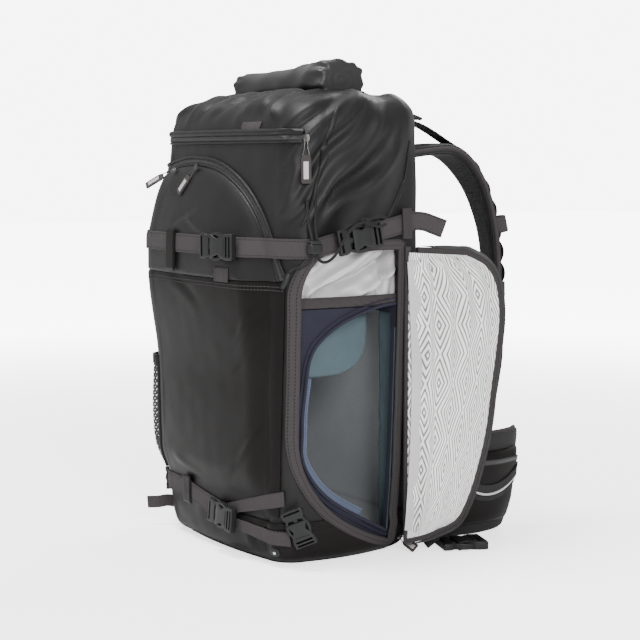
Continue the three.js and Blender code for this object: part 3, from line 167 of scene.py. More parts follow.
def fold_form(signed, width, dip, beside=2, spread=1.3):
    """The height across a fold: 1 on its ridge, with a hollow beside it."""
    hollow = np.exp(-((signed - beside * width) / (spread * width)) ** 2)
    return np.exp(-(signed / width) ** 2) - dip * hollow


def drawn_folds(a, b, lines, run):
    """Folds from (a, b) to (a, b), with a width and height; they fade by a share run past their ends."""
    total = 0
    for a1, b1, a2, b2, width, height in lines:
        _, t, signed = away_from_line(a, b, a1, b1, a2, b2)
        rise, fall = smooth(t, -run, 0.3), 1 - smooth(t, 0.7, 1 + run)
        total = total + height * np.exp(-(signed / width) ** 2) * rise * fall
    return total


def fold_at(p):
    x, y, z = np.moveaxis(p, -1, 0)
    near_side = smooth(np.abs(x), 0.55 * HALF_WIDTH, 0.85 * HALF_WIDTH)
    total = np.zeros_like(x)
    for side, y1, z1, y2, z2, width, height in FOLDS:
        away = away_from_line(y / BACK_REACH / 2, z / BODY_HEIGHT, y1 / 2, z1, y2 / 2, z2)[0]
        total += np.where(x * side > 0, height * near_side * np.exp(-(away / width) ** 2), 0)
    return total


# Length of each stretch, for laying creases in millimetres round the bag and up it
STRETCH_LENGTHS = np.array([212, 45, 114, 45, 212, 45, 114, 45])
STRETCH_STARTS = np.concatenate([[0], np.cumsum(STRETCH_LENGTHS)])
GIRTH = STRETCH_STARTS[-1]


def round_length(place):
    k = np.floor(place).astype(int)
    t = place - k
    turns = k // STRETCHES
    return STRETCH_STARTS[k % STRETCHES] + STRETCH_LENGTHS[k % STRETCHES] * t + turns * GIRTH


def waver(a, b, wave, seed):
    """A soft random field between -1 and 1, for two coordinates in millimetres."""
    rng = np.random.default_rng(seed)
    total = np.zeros_like(a, dtype=float)
    for _ in range(5):
        turn, phase, stretch = rng.uniform(0, 2 * math.pi), rng.uniform(0, 2 * math.pi), rng.uniform(0.7, 1.4)
        total += np.sin((a * math.cos(turn) + b * math.sin(turn)) * 2 * math.pi / (wave * stretch) + phase)
    return total / 3


# Creases of the cloth: from (place, height) to (place, height), width and height in mm
CREASES = [
    # the gathered gusset, from the roll's right end towards the front and the door
    (2.75, 462, 1.55, 345, 6.0, 2.6),
    (2.45, 468, 1.3, 372, 5.0, -2.2),
    (2.2, 470, 1.15, 400, 5.0, 2.4),
    (2.9, 445, 1.9, 352, 5.5, -2.4),
    (2.95, 425, 2.1, 350, 5.0, 2.2),
    (2.0, 462, 1.05, 428, 4.5, -1.8),
    (2.6, 400, 2.0, 348, 5.0, 1.8),
    (2.35, 440, 1.7, 380, 4.0, 1.6),
    (1.9, 385, 1.35, 350, 4.0, -1.6),
    (1.5, 410, 1.2, 355, 4.5, 1.5),
    # the roof towards the roll's left end
    (0.1, 474, -0.8, 455, 5.0, 2.0),
    (0.5, 476, 0.35, 450, 6.0, -1.6),
    (0.75, 476, 0.95, 450, 6.0, 2.0),
    (0.6, 476, 0.72, 452, 5.0, -1.5),
    # the left gusset
    (6.3, 462, 7.4, 350, 6.0, 2.4),
    (6.6, 466, 7.7, 385, 5.0, -2.0),
    (6.1, 440, 7.0, 345, 5.0, -2.0),
    (5.9, 430, 6.6, 350, 5.0, 2.0),
    # the foot, drawn in at the corners
    (1.1, 8, 1.0, 60, 5.0, -1.4),
    (1.45, 8, 1.55, 48, 5.0, -1.3),
    (0.92, 10, 0.8, 50, 5.0, 1.2),
    (7.6, 8, 7.5, 60, 5.0, -1.4),
    (7.9, 8, 0.02, 50, 5.0, 1.2),
]


def crease_at(place, z):
    around = round_length(place)
    bent = around + 5 * waver(around, z, 90, 3)
    height = z + 4 * waver(around, z, 70, 4)
    total = 0.35 * waver(around, z, 60, 5) + 0.18 * waver(around, z, 26, 6)
    for p1, z1, p2, z2, width, lift in CREASES:
        width = width * 1.1
        a1, a2 = (float(round_length(np.array(p))) for p in (p1, p2))
        for shift in (-GIRTH, 0, GIRTH):
            away, t, signed = away_from_line(bent, height, a1 + shift, z1, a2 + shift, z2)
            ends = smooth(t, -0.12, 0.18) * (1 - smooth(t, 0.72, 1.15))
            total += 1.45 * lift * ends * fold_form(signed, width, 0.5, 1.9) * (away < 60)
    return total


ARCH_LINE = np.array([
    [-1.2, 0.85], [-0.85, 0.93], [-0.6, 0.985], [-0.35, 1.0], [-0.05, 0.97],
    [0.24, 0.86], [0.5, 0.66], [0.68, 0.42], [0.8, 0.15], [0.85, 0.0],
])


def spline(points, count):
    """Uniform Catmull-Rom curve through points, as many steps as asked."""
    points = np.asarray(points, float)
    at = np.linspace(0, len(points) - 1, count + 1)
    i = np.clip(np.floor(at).astype(int), 0, len(points) - 2)
    t = (at - i)[:, None]
    last = len(points) - 1
    p0, p1, p2, p3 = (points[np.clip(i + n, 0, last)] for n in (-1, 0, 1, 2))
    v0, v1 = (p2 - p0) / 2, (p3 - p1) / 2
    return (2 * p1 - 2 * p2 + v0 + v1) * t ** 3 + (-3 * p1 + 3 * p2 - 2 * v0 - v1) * t ** 2 + v0 * t + p1


ARCH_CURVE = spline(ARCH_LINE * [HALF_WIDTH, ARCH_TOP - STASH_TOP] + [0, STASH_TOP], 120)


def arch_height(x):
    return np.interp(x, ARCH_CURVE[:, 0], ARCH_CURVE[:, 1], right=STASH_TOP)


def pocket_depth(x, z, facing):
    near_edge = 1 - smooth(x, POCKET_RIGHT - 45, POCKET_RIGHT)
    arch = ARCH_DEPTH * np.sqrt(np.clip((arch_height(x) - z) / 70, 0, 1))
    low = STASH_DEPTH * smooth(z, STASH_BOTTOM, STASH_BOTTOM + 45)
    share = smooth(z, STASH_TOP - 110, STASH_TOP + 5)
    return np.maximum(POCKET_EDGE, mix(low, arch, share) * near_edge) * facing


def layer_depth(layer, p, place):
    k = np.floor(place).astype(int) % STRETCHES
    t = place - np.floor(place)
    facing = np.select([k == 0, k == 1, k == 7], [1 + 0 * t, 1 - t * t, 1 - (1 - t) ** 4], 0)
    pocket = pocket_depth(p[..., 0], p[..., 2], facing)
    if layer == "pockets":
        return pocket
    if layer == "straps":
        return np.maximum(pocket, STRAP_FLOOR)
    if layer == "mesh":
        swell = np.select([k == 6, k == 7], [0.4 + 0.6 * t, np.maximum(1 - 1.6 * t, 0)], 0)
        rise = smooth(p[..., 2], MESH_BOTTOM, MESH_BOTTOM + 70)
        return np.maximum(pocket, STRAP_FLOOR) + MESH_BULGE * swell * rise
    return 0 * t


LAST_ROW = len(SECTIONS) - 1
CREASE_SHARE = {"bare": 1, "pockets": 0.35, "straps": 0.3, "mesh": 0.5, "smooth": 0}


# Folds of the roof, drawn towards the roll's ends: from (x, y) to (x, y), width and height in mm
ROOF_FOLDS = [
    (84, -14, 18, -96, 6.5, 3.6),
    (84, -14, -34, -70, 6.0, -3.2),
    (80, -20, 58, -98, 5.0, -3.0),
    (70, -16, -76, -46, 5.5, 3.0),
    (86, -10, 84, -92, 5.0, 3.2),
    (-66, -10, -84, -96, 4.5, 2.6),
    (-46, -12, -60, -96, 4.5, -2.4),
    (84, 20, 60, 78, 7.0, 3.0),
    (90, 6, 106, 66, 6.0, -3.0),
    (-84, 14, -60, 80, 7.0, 2.6),
]


def roof_at(p):
    """The roof: raised to a ridge under the roll, and folded."""
    x, y, z = np.moveaxis(p, -1, 0)
    on_roof = smooth(z, BODY_HEIGHT - 34, BODY_HEIGHT - 12)
    clear = 1 - 0.85 * smooth(24 - np.abs(y - 9), -4, 8) * smooth(92 - np.abs(x), 0, 8)
    ridge = 4.2 * np.exp(-((y - 6) / 34) ** 2) * smooth(104 - np.abs(x), 0, 40)
    folds = 0
    for x1, y1, x2, y2, width, height in ROOF_FOLDS:
        _, t, signed = away_from_line(x, y, x1, y1, x2, y2)
        bent = signed + 3 * waver(x, y, 60, 71)
        ends = smooth(t, -0.1, 0.15) * (1 - smooth(t, 0.75, 1.1))
        folds = folds + height * ends * fold_form(bent, width, 0.45)
    return on_roof * (ridge + folds * clear)


def bag_point(row, place, lift=0, layer="bare"):
    """Points of a layer of the bag, in mm; the arrays of rows and places have one shape."""
    row, place = np.broadcast_arrays(np.asarray(row, float), np.asarray(place, float))
    p = bare_point(row, place)
    step = 0.02
    above, below = np.minimum(row + step, LAST_ROW), np.maximum(row - step, 0)
    rising = bare_point(above, place) - bare_point(below, place)
    a = facing_angle(place)
    across = np.stack([-np.sin(a), np.cos(a), 0 * a], -1)
    normal = np.cross(across, rising)
    normal /= np.linalg.norm(normal, axis=-1, keepdims=True)
    normal = np.where((row >= LAST_ROW)[..., None], [0, 0, 1.0], normal)
    foot = np.stack([np.cos(a), np.sin(a), 0 * a - 1], -1)
    normal = np.where((row <= 0)[..., None], foot, normal)
    away_from_ends = smooth(row, 0.2, 1.4) * (1 - smooth(row, 10.2, 10.9))
    crease = crease_at(place, p[..., 2]) * CREASE_SHARE[layer] * away_from_ends
    if layer == "bare":
        crease = crease + roof_at(p)
    total = lift + fold_at(p) + crease + layer_depth(layer, p, place)
    return p + normal * total[..., None]


class Layer:
    """One layer of the bag as a table of points, to lay pieces on."""

    ROWS = np.concatenate([np.linspace(0, 2, 26)[:-1], np.linspace(2, 9, 190)[:-1], np.linspace(9, 11, 36)])
    COLUMNS = np.linspace(0, STRETCHES, 400, endpoint=False)

    def __init__(self, name):
        rows, columns = np.meshgrid(self.ROWS, self.COLUMNS, indexing="ij")
        self.points = bag_point(rows, columns, 0, name)
        outer = bag_point(rows, columns, 1, name)
        self.normals = outer - self.points
        self.normals /= np.linalg.norm(self.normals, axis=-1, keepdims=True)
        n, m = rows.shape
        i, j = np.meshgrid(np.arange(n - 1), np.arange(m), indexing="ij")
        quads = np.stack([i * m + j, i * m + (j + 1) % m, (i + 1) * m + (j + 1) % m, (i + 1) * m + j], -1)
        self.tree = BVHTree.FromPolygons(self.points.reshape(-1, 3).tolist(), quads.reshape(-1, 4).tolist())
        self.quads = quads.reshape(-1, 4)
        self.flat_normals = self.normals.reshape(-1, 3)
        self.width = m

    def at(self, place, z, lift=0):
        """Points at places round the bag and heights."""
        place, z, lift = np.broadcast_arrays(*(np.asarray(v, float) for v in (place, z, lift)))
        shape = place.shape
        f = (place.ravel() / STRETCHES * self.width) % self.width
        c = np.floor(f).astype(int)
        w = (f - c)[:, None, None]
        c0, c1 = c % self.width, (c + 1) % self.width
        columns = mix(self.points[:, c0].transpose(1, 0, 2), self.points[:, c1].transpose(1, 0, 2), w)
        normals = mix(self.normals[:, c0].transpose(1, 0, 2), self.normals[:, c1].transpose(1, 0, 2), w)
        zs = columns[..., 2]
        target = z.ravel()[:, None]
        r = np.clip(np.argmax(zs >= target, axis=1), 1, len(self.ROWS) - 1)
        k = np.arange(len(r))
        low, high = zs[k, r - 1], zs[k, r]
        t = np.clip((target[:, 0] - low) / np.where(high > low, high - low, 1), 0, 1)[:, None]
        point = mix(columns[k, r - 1], columns[k, r], t)
        normal = mix(normals[k, r - 1], normals[k, r], t)
        return (point + normal * lift.ravel()[:, None]).reshape(*shape, 3)

    def hit(self, turn, a, z, lift=0):
        """Points seen square on from a side: a turn of 0 looks at the front, where a is x."""
        a, z, lift = np.broadcast_arrays(*(np.asarray(v, float) for v in (a, z, lift)))
        cos, sin = math.cos(math.radians(turn)), math.sin(math.radians(turn))
        look = Vector((-sin, cos, 0))
        found = []
        for u, height, raised in zip(a.ravel(), z.ravel(), lift.ravel()):
            start = Vector((u * cos + FAR * sin, u * sin - FAR * cos, height))
            hit, _, index, _ = self.tree.ray_cast(start, look)
            if hit is None:
                hit, _, index, _ = self.tree.find_nearest(start + look * 330)
            corners = self.quads[index]
            normal = self.flat_normals[corners].mean(0)
            found.append(np.array(hit) + normal / np.linalg.norm(normal) * raised)
        return np.array(found).reshape(*a.shape, 3)


layers = {name: Layer(name) for name in ("bare", "pockets", "straps", "mesh")}


def place_of_x(x, z, layer="bare"):
    """The place across the front where a layer has this x at a height."""
    places = np.linspace(-1, 2, 301)
    xs = layers[layer].at(places, np.full(301, float(z)))[:, 0]
    return np.interp(x, xs, places)


def place_of_y(y, z, layer="bare"):
    places = np.linspace(1, 4, 301)
    ys = layers[layer].at(places, np.full(301, float(z)))[:, 1]
    return np.interp(y, ys, places)


# Making meshes

pieces = {}


def face_outside(mesh, weld=0.0):
    """Turns the faces of a mesh outwards, after joining points nearer than weld, in metres."""
    bm = bmesh.new()
    bm.from_mesh(mesh)
    if weld:
        bmesh.ops.remove_doubles(bm, verts=bm.verts, dist=weld)
    bmesh.ops.recalc_face_normals(bm, faces=bm.faces)
    bm.to_mesh(mesh)
    bm.free()


def smooth_shade(mesh, angle=35):
    mesh.shade_smooth()
    mesh.set_sharp_from_angle(angle=math.radians(angle))


def in_scene(name, data):
    made = bpy.data.objects.new(name, data)
    bpy.context.scene.collection.objects.link(made)
    return made


def make_piece(name, points, faces, finish, slot, replaces=(), uv=None, angle=40):
    """A mesh from points in mm. uv gives each point a place on its cloth, in metres."""
    mesh = bpy.data.meshes.new(name)
    mesh.from_pydata((np.asarray(points) * MM).tolist(), [], [list(map(int, f)) for f in faces])
    if uv is not None:
        layer = mesh.uv_layers.new(name="cloth")
        corner = np.empty(len(mesh.loops), dtype=np.int32)
        mesh.loops.foreach_get("vertex_index", corner)
        layer.data.foreach_set("uv", np.asarray(uv, dtype=np.float32)[corner].ravel())
    face_outside(mesh)
    smooth_shade(mesh, angle)
    return dress(in_scene(name, mesh), finish, slot, replaces)


def dress(piece, finish, slot, replaces=()):
    piece.data.materials.clear()
    piece.data.materials.append(finish)
    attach(piece, "root")
    if replaces:
        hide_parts(*([replaces] if isinstance(replaces, str) else replaces))
    pieces[piece.name] = piece
    return piece


def grid_faces(n, m, start=0, wrap_i=False, wrap_j=False):
    i, j = np.meshgrid(np.arange(n if wrap_i else n - 1), np.arange(m if wrap_j else m - 1), indexing="ij")
    i1, j1 = (i + 1) % n, (j + 1) % m
    return (start + np.stack([i * m + j, i1 * m + j, i1 * m + j1, i * m + j1], -1)).reshape(-1, 4)


def thick_sheet(name, outer, inner, finish, slot, replaces=(), uv=None, wrap=False, angle=40):
    """A closed sheet between two grids of points; wrap joins its first row to its last."""
    n, m = outer.shape[:2]
    count = n * m
    faces = [grid_faces(n, m, 0, wrap_i=wrap), grid_faces(n, m, count, wrap_i=wrap)[:, ::-1]]
    rim = []
    steps = range(n if wrap else n - 1)
    for j in (0, m - 1):
        rim += [(i * m + j, ((i + 1) % n) * m + j, count + ((i + 1) % n) * m + j, count + i * m + j)
                for i in steps]
    if not wrap:
        for i in (0, n - 1):
            rim += [(i * m + j, i * m + j + 1, count + i * m + j + 1, count + i * m + j)
                    for j in range(m - 1)]
    points = np.concatenate([outer.reshape(-1, 3), inner.reshape(-1, 3)])
    flat = None if uv is None else np.concatenate([uv.reshape(-1, 2)] * 2)
    faces = np.concatenate([*faces, np.array(rim)])
    return make_piece(name, points, faces, finish, slot, replaces, flat, angle)


def lengths_along(points):
    steps = np.linalg.norm(np.diff(points, axis=0), axis=-1)
    return np.concatenate([np.zeros((1, *steps.shape[1:])), np.cumsum(steps, axis=0)])


def strip(name, place, count, width, thickness, finish, slot, replaces=(), floor=GAP, across=7, crown=0.0,
          wrap=False):
    """A band of cloth laid on the bag. place(u, a, lift) gives its points: u from 0 to 1 along,
    a in mm across and lift in mm off what it lies on."""
    half = width / 2
    a = half * np.concatenate([[-1, -1 + 0.5 / half], np.linspace(-1, 1, across)[1:-1], [1 - 0.5 / half, 1]])
    edge = np.ones_like(a)
    edge[[0, -1]] = 0.45
    u = np.linspace(0, 1, count + 1)[:-1] if wrap else np.linspace(0, 1, count + 1)
    uu, aa = np.meshgrid(u, a, indexing="ij")
    top = floor + thickness * edge + crown * np.clip(1 - (a / half) ** 2, 0, 1)
    outer = place(uu, aa, np.broadcast_to(top, uu.shape))
    inner = place(uu, aa, np.full(uu.shape, float(floor)))
    along = lengths_along(outer[:, len(a) // 2])
    uv = np.stack([np.broadcast_to(along[:, None], uu.shape), aa], -1) * MM
    return thick_sheet(name, outer, inner, finish, slot, replaces, uv, wrap)


def smooth_path(points, count):
    """Centripetal Catmull-Rom curve, at even steps of its length."""
    p = np.asarray(points, float)
    p = np.vstack([2 * p[0] - p[1], p, 2 * p[-1] - p[-2]])
    dense = []
    for k in range(len(p) - 3):
        p0, p1, p2, p3 = p[k:k + 4]
        d0, d1, d2 = (max(np.linalg.norm(b - a) ** 0.5, 1e-4) for a, b in ((p0, p1), (p1, p2), (p2, p3)))
        t1 = ((p1 - p0) / d0 - (p2 - p0) / (d0 + d1) + (p2 - p1) / d1) * d1
        t2 = ((p2 - p1) / d1 - (p3 - p1) / (d1 + d2) + (p3 - p2) / d2) * d1
        t = np.linspace(0, 1, 25)[:, None]
        dense.append(p1 + t1 * t + (-3 * p1 + 3 * p2 - 2 * t1 - t2) * t ** 2
                     + (2 * p1 - 2 * p2 + t1 + t2) * t ** 3)
    dense = np.concatenate([d[:-1] for d in dense] + [dense[-1][-1:]])
    length = lengths_along(dense)
    at = np.linspace(0, length[-1], count + 1)
    return np.stack([np.interp(at, length, dense[:, k]) for k in range(dense.shape[1])], -1)


def directions(path):
    along = np.gradient(path, axis=0)
    return along / np.linalg.norm(along, axis=-1, keepdims=True)


def band_frames(path, across):
    """For each point of a path: the direction along it, its width direction and the way it faces."""
    along = directions(path)
    across = np.broadcast_to(np.asarray(across, float), path.shape)
    across = across - along * np.sum(across * along, -1, keepdims=True)
    across = across / np.linalg.norm(across, axis=-1, keepdims=True)
    out = np.cross(along, across)
    return along, across, out / np.linalg.norm(out, axis=-1, keepdims=True)


def sweep(name, path, across, profile, finish, slot, replaces=(), share=None, angle=40, wrap=False):
    """A closed form swept along a path. The profile is a closed loop of (across, out) in mm,
    or a function of the share along that gives one."""
    n = len(path)
    _, width_way, out = band_frames(path, across)
    rings = []
    for i in range(n):
        loop = np.asarray(profile(i / (n - 1)) if callable(profile) else profile, float)
        scale = 1 if share is None else share[i]
        rings.append(path[i] + loop[:, :1] * scale * width_way[i] + loop[:, 1:2] * out[i])
    rings = np.array(rings)
    m = rings.shape[1]
    faces = [grid_faces(n, m, 0, wrap_i=wrap, wrap_j=True)]
    points = rings.reshape(-1, 3)
    length = lengths_along(path)
    around = np.asarray(profile(0.5) if callable(profile) else profile, float)[:, 0]
    lengths = np.broadcast_to(length[:, None], (n, m))
    uv = np.stack([lengths, np.broadcast_to(around, (n, m))], -1).reshape(-1, 2) * MM
    if not wrap:
        points = np.vstack([points, rings[0].mean(0), rings[-1].mean(0)])
        uv = np.vstack([uv, [uv[0, 0], 0], [uv[-1, 0], 0]])
        last = n * m
        j = np.arange(m)
        caps = [np.stack([np.full(m, last), j, (j + 1) % m], -1),
                np.stack([np.full(m, last + 1), (n - 1) * m + (j + 1) % m, (n - 1) * m + j], -1)]
        faces = [tuple(f) for f in faces[0]] + [tuple(f) for c in caps for f in c]
    else:
        faces = faces[0]
    return make_piece(name, points, faces, finish, slot, replaces, uv, angle)


def flat_loop(width, thickness, steps=7):
    """The section of a woven band: flat faces and soft edges."""
    w, h = width / 2, thickness / 2
    top = [(w * x, h) for x in np.linspace(-0.93, 0.93, steps)]
    return [(-w, 0)] + [(-0.985 * w, 0.6 * h)] + top + [(0.985 * w, 0.6 * h), (w, 0), (0.985 * w, -0.6 * h)] \
        + [(x, -y) for x, y in top[::-1]] + [(-0.985 * w, -0.6 * h)]


def round_loop(radius, steps=12):
    a = np.linspace(0, 2 * math.pi, steps, endpoint=False)
    return np.stack([np.cos(a), np.sin(a)], -1) * radius


def pad_loop(width, thickness, steps=32, power=2.6, edge=1.6):
    """The section of a padded band: crowned, drawn in to thin sewn edges."""
    w = width / 2
    half_turn = np.cos(np.linspace(0, math.pi, steps // 2 + 1))
    x = np.concatenate([-half_turn, half_turn[1:-1]])
    crown = (1 - np.abs(x) ** power) ** (1 / power)
    height = edge / 2 + (thickness / 2 - edge / 2) * crown
    sign = np.concatenate([np.ones(steps // 2 + 1), -np.ones(steps // 2 - 1)])
    return np.stack([x * w, height * sign], -1)


def solid_between(name, rows_low, rows_high, columns, rows, lift, layer="bare"):
    """A plain closed skin of the bag, as a cutter or a body, in a layer and at a lift."""
    row, place = np.meshgrid(np.linspace(rows_low, rows_high, rows),
                             np.linspace(0, STRETCHES, columns, endpoint=False), indexing="ij")
    grid = bag_point(row, place, lift, layer)
    points = np.vstack([grid.reshape(-1, 3), grid[0].mean(0), grid[-1].mean(0)])
    j = np.arange(columns)
    faces = [tuple(f) for f in grid_faces(rows, columns, 0, wrap_j=True)]
    last = rows * columns
    faces += [(last, int(a), int((a + 1) % columns)) for a in j]
    faces += [(last + 1, int((rows - 1) * columns + (a + 1) % columns), int((rows - 1) * columns + a))
              for a in j]
    return loose_mesh(name, points, faces)


def loose_mesh(name, points, faces):
    """A helper mesh that a boolean uses; it isn't part of the object."""
    mesh = bpy.data.meshes.new(name)
    mesh.from_pydata((np.asarray(points) * MM).tolist(), [], [list(map(int, f)) for f in faces])
    face_outside(mesh)
    return in_scene(name, mesh)


def prism_x(name, outline, low, high):
    """A cutter drawn in (y, z) and drawn out along x."""
    n = len(outline)
    points = [(low, y, z) for y, z in outline] + [(high, y, z) for y, z in outline]
    faces = [tuple(range(n)), tuple(range(n, 2 * n))[::-1]]
    faces += [(i, (i + 1) % n, n + (i + 1) % n, n + i) for i in range(n)]
    return loose_mesh(name, points, faces)


def block(name, low, high):
    outline = [(low[1], low[2]), (high[1], low[2]), (high[1], high[2]), (low[1], high[2])]
    return prism_x(name, outline, low[0], high[0])


def apply_modifier(target, kind, **settings):
    bpy.ops.object.select_all(action="DESELECT")
    target.select_set(True)
    bpy.context.view_layer.objects.active = target
    modifier = target.modifiers.new(kind.title(), kind)
    for key, value in settings.items():
        setattr(modifier, key, value)
    bpy.ops.object.modifier_apply(modifier=modifier.name)


def cut(target, tool, operation="DIFFERENCE", keep_tool=False):
    apply_modifier(target, "BOOLEAN", operation=operation, solver="MANIFOLD", object=tool)
    if not keep_tool:
        bpy.data.objects.remove(tool)


def remove_slivers(target):
    """Leaves the largest body of a cut mesh."""
    bm = bmesh.new()
    bm.from_mesh(target.data)
    seen, bodies = set(), []
    for start in bm.verts:
        if start in seen:
            continue
        body, queue = [], [start]
        seen.add(start)
        while queue:
            vert = queue.pop()
            body.append(vert)
            for edge in vert.link_edges:
                other = edge.other_vert(vert)
                if other not in seen:
                    seen.add(other)
                    queue.append(other)
        bodies.append(body)
    bodies.sort(key=len)
    for body in bodies[:-1]:
        bmesh.ops.delete(bm, geom=body, context="VERTS")
    bm.to_mesh(target.data)
    bm.free()


def finish_cut(target, finish, slot, replaces):
    smooth_shade(target.data)
    return dress(target, finish, slot, replaces)


# Finishes

class Value:
    """A socket of a material, with the operators that shader maths needs."""

    def __init__(self, finish, socket):
        self.finish, self.socket = finish, socket

    def math(self, operation, *others, first=None):
        inputs = [self if first is None else first, *others]
        return self.finish.add("ShaderNodeMath", {"operation": operation}, dict(enumerate(inputs)))

    def __add__(self, other):
        return self.math("ADD", other)

    def __radd__(self, other):
        return self.math("ADD", other)

    def __sub__(self, other):
        return self.math("SUBTRACT", other)

    def __rsub__(self, other):
        return self.math("SUBTRACT", self, first=other)

    def __mul__(self, other):
        return self.math("MULTIPLY", other)

    def __rmul__(self, other):
        return self.math("MULTIPLY", other)

    def __truediv__(self, other):
        return self.math("DIVIDE", other)

    def sin(self):
        return self.math("SINE")

    def abs(self):
        return self.math("ABSOLUTE")

    def fract(self):
        return self.math("FRACT")

    def below(self, limit):
        return self.math("LESS_THAN", limit)

    def above(self, limit):
        return self.math("GREATER_THAN", limit)

    def least(self, other):
        return self.math("MINIMUM", other)

    def most(self, other):
        return self.math("MAXIMUM", other)

    def wave(self, pitch):
        return (self * (2 * math.pi / pitch)).sin()

    def between(self, low, high):
        """0 below low and 1 above high, with a soft step."""
        return self.finish.add("ShaderNodeMapRange", {"interpolation_type": "SMOOTHSTEP"},
                               {"Value": self, "From Min": low, "From Max": high})


class Finish:
    """A material built from expressions."""

    def __init__(self, name, roughness=0.7, metallic=0.0, **fixed):
        self.material = bpy.data.materials.new(name)
        self.material.use_nodes = True
        self.nodes, self.links = self.material.node_tree.nodes, self.material.node_tree.links
        self.shader = self.nodes["Principled BSDF"]
        self.shader.inputs["Roughness"].default_value = roughness
        self.shader.inputs["Metallic"].default_value = metallic
        for key, value in fixed.items():
            self.shader.inputs[key.replace("_", " ").title().replace("Ior", "IOR")].default_value = value
        self.coordinates = self.nodes.new("ShaderNodeTexCoord")

    def put(self, socket, value):
        if isinstance(value, Value):
            self.links.new(value.socket, socket)
        elif isinstance(value, tuple) and len(value) == 3 and socket.type == "RGBA":
            socket.default_value = (*value, 1)
        else:
            socket.default_value = value

    def add(self, kind, settings=None, inputs=None, output=0):
        node = self.nodes.new(kind)
        for key, value in (settings or {}).items():
            setattr(node, key, value)
        for key, value in (inputs or {}).items():
            self.put(node.inputs[key], value)
        return Value(self, node.outputs[output])

    def object_at(self, scale=(1, 1, 1), turn=(0, 0, 0)):
        return self.add("ShaderNodeMapping", {}, {"Vector": Value(self, self.coordinates.outputs["Object"]),
                                                  "Scale": scale, "Rotation": turn})

    def parts(self, vector):
        node = self.nodes.new("ShaderNodeSeparateXYZ")
        self.links.new(vector.socket, node.inputs[0])
        return [Value(self, output) for output in node.outputs]

    def uv(self):
        """Millimetres along the piece and across it."""
        along, across, _ = self.parts(Value(self, self.coordinates.outputs["UV"]))
        return along * 1000, across * 1000

    def noise(self, size, detail=2.0, vector=None, roughness=0.5):
        """Noise whose grains are about size mm across."""
        return self.add("ShaderNodeTexNoise", {}, {"Vector": vector or self.object_at(), "Scale": 1000 / size,
                                                   "Detail": detail, "Roughness": roughness})

    def colour(self, low, high, share):
        return self.add("ShaderNodeMix", {"data_type": "RGBA"}, {0: share, 6: low, 7: high}, output=2)

    def base(self, colour):
        self.put(self.shader.inputs["Base Color"], colour)

    def roughness(self, value):
        self.put(self.shader.inputs["Roughness"], value)

    def bump(self, height, strength=0.3, distance=0.3):
        """distance is in mm."""
        inputs = {"Height": height, "Strength": strength, "Distance": distance * MM}
        bump = self.add("ShaderNodeBump", {}, inputs)
        self.put(self.shader.inputs["Normal"], bump)


def shade(colour, share):
    return tuple(min(c * share, 1) for c in colour)


SHELL, COATED, BROWN = (0.0072, 0.0068, 0.0068), (0.0052, 0.0045, 0.0043), (0.033, 0.0285, 0.0295)
NAVY, TEAL, PALE = (0.0125, 0.0123, 0.0205), (0.06, 0.085, 0.098), (0.41, 0.4, 0.41)
DARK_THREAD = (0.01, 0.009, 0.009)


def weave_height(finish, pitch, vector=None):
    """A fine plain weave on object coordinates, from two crossed waves."""
    x, y, z = finish.parts(vector or finish.object_at())
    turn = 2 * math.pi * 1000 / pitch
    return (((x + y) * turn).sin() * (z * turn).sin()) * 0.5 + 0.5


def shell_cloth(name="charcoal_cloth", colour=SHELL, gloss=0.2):
    f = Finish(name, specular_ior_level=gloss)
    cloud = f.noise(60, 3)
    grain = f.noise(1.1, 2)
    f.base(f.colour(shade(colour, 0.82), shade(colour, 1.22), cloud.between(0.3, 0.7)))
    f.roughness(0.4 + cloud * 0.12 + grain * 0.08)
    f.bump(grain * 0.5 + weave_height(f, 0.9) * 0.5, 0.25, 0.16)
    return f.material


def coated_cloth():
    f = Finish("coated_cloth", specular_ior_level=0.09)
    cloud = f.noise(85, 3)
    grain = f.noise(0.8, 2)
    mottle = f.noise(7, 3)
    f.base(f.colour(shade(COATED, 0.9), shade(COATED, 1.15), cloud.between(0.3, 0.7)))
    f.roughness(0.36 + cloud * 0.1 + mottle * 0.06)
    f.bump(grain * 0.45 + mottle * 0.8, 0.16, 0.14)
    return f.material


def stitch_dashes(along, across, lines, pitch=3.6, fill=0.62, half=0.42):
    """1 on the stitches of rows at these distances across, in mm."""
    total = None
    for line in lines:
        row = (across - line).abs().below(half)
        total = row if total is None else total.most(row)
    return total * (along / pitch).fract().below(fill)


def webbing(name, colour, lines, width=WEB_WIDTH, thread=None):
    """Woven webbing: ribs across, a closer selvedge and rows of stitches."""
    f = Finish(name, roughness=0.85, specular_ior_level=0.25)
    along, across = f.uv()
    rib = along.wave(1.25) * across.wave(1.8)
    chevron = (along + across.abs() * 0.6).wave(2.1)
    grain = f.noise(0.7, 2)
    selvedge = across.abs().between(width / 2 - 2.2, width / 2 - 1.2)
    tone = 0.4 + rib * 0.16 + chevron * 0.08 + grain * 0.3 - selvedge * 0.12
    cloth = f.colour(shade(colour, 0.55), shade(colour, 1.35), tone)
    height = rib * 0.3 + chevron * 0.2 + grain * 0.3
    if lines:
        stitch = stitch_dashes(along, across, lines)
        cloth = f.colour(cloth, thread or shade(colour, 0.3), stitch)
        height = height + stitch * 0.9
    f.base(cloth)
    f.bump(height, 0.55, 0.35)
    return f.material


def moulded_plastic(name="moulded_plastic", colour=(0.0055, 0.0057, 0.0062)):
    f = Finish(name, specular_ior_level=0.3)
    grain = f.noise(0.45, 2)
    cloud = f.noise(14, 3)
    f.base(f.colour(shade(colour, 0.85), shade(colour, 1.3), cloud))
    f.roughness(0.4 + cloud * 0.14 + grain * 0.06)
    f.bump(grain, 0.14, 0.06)
    return f.material


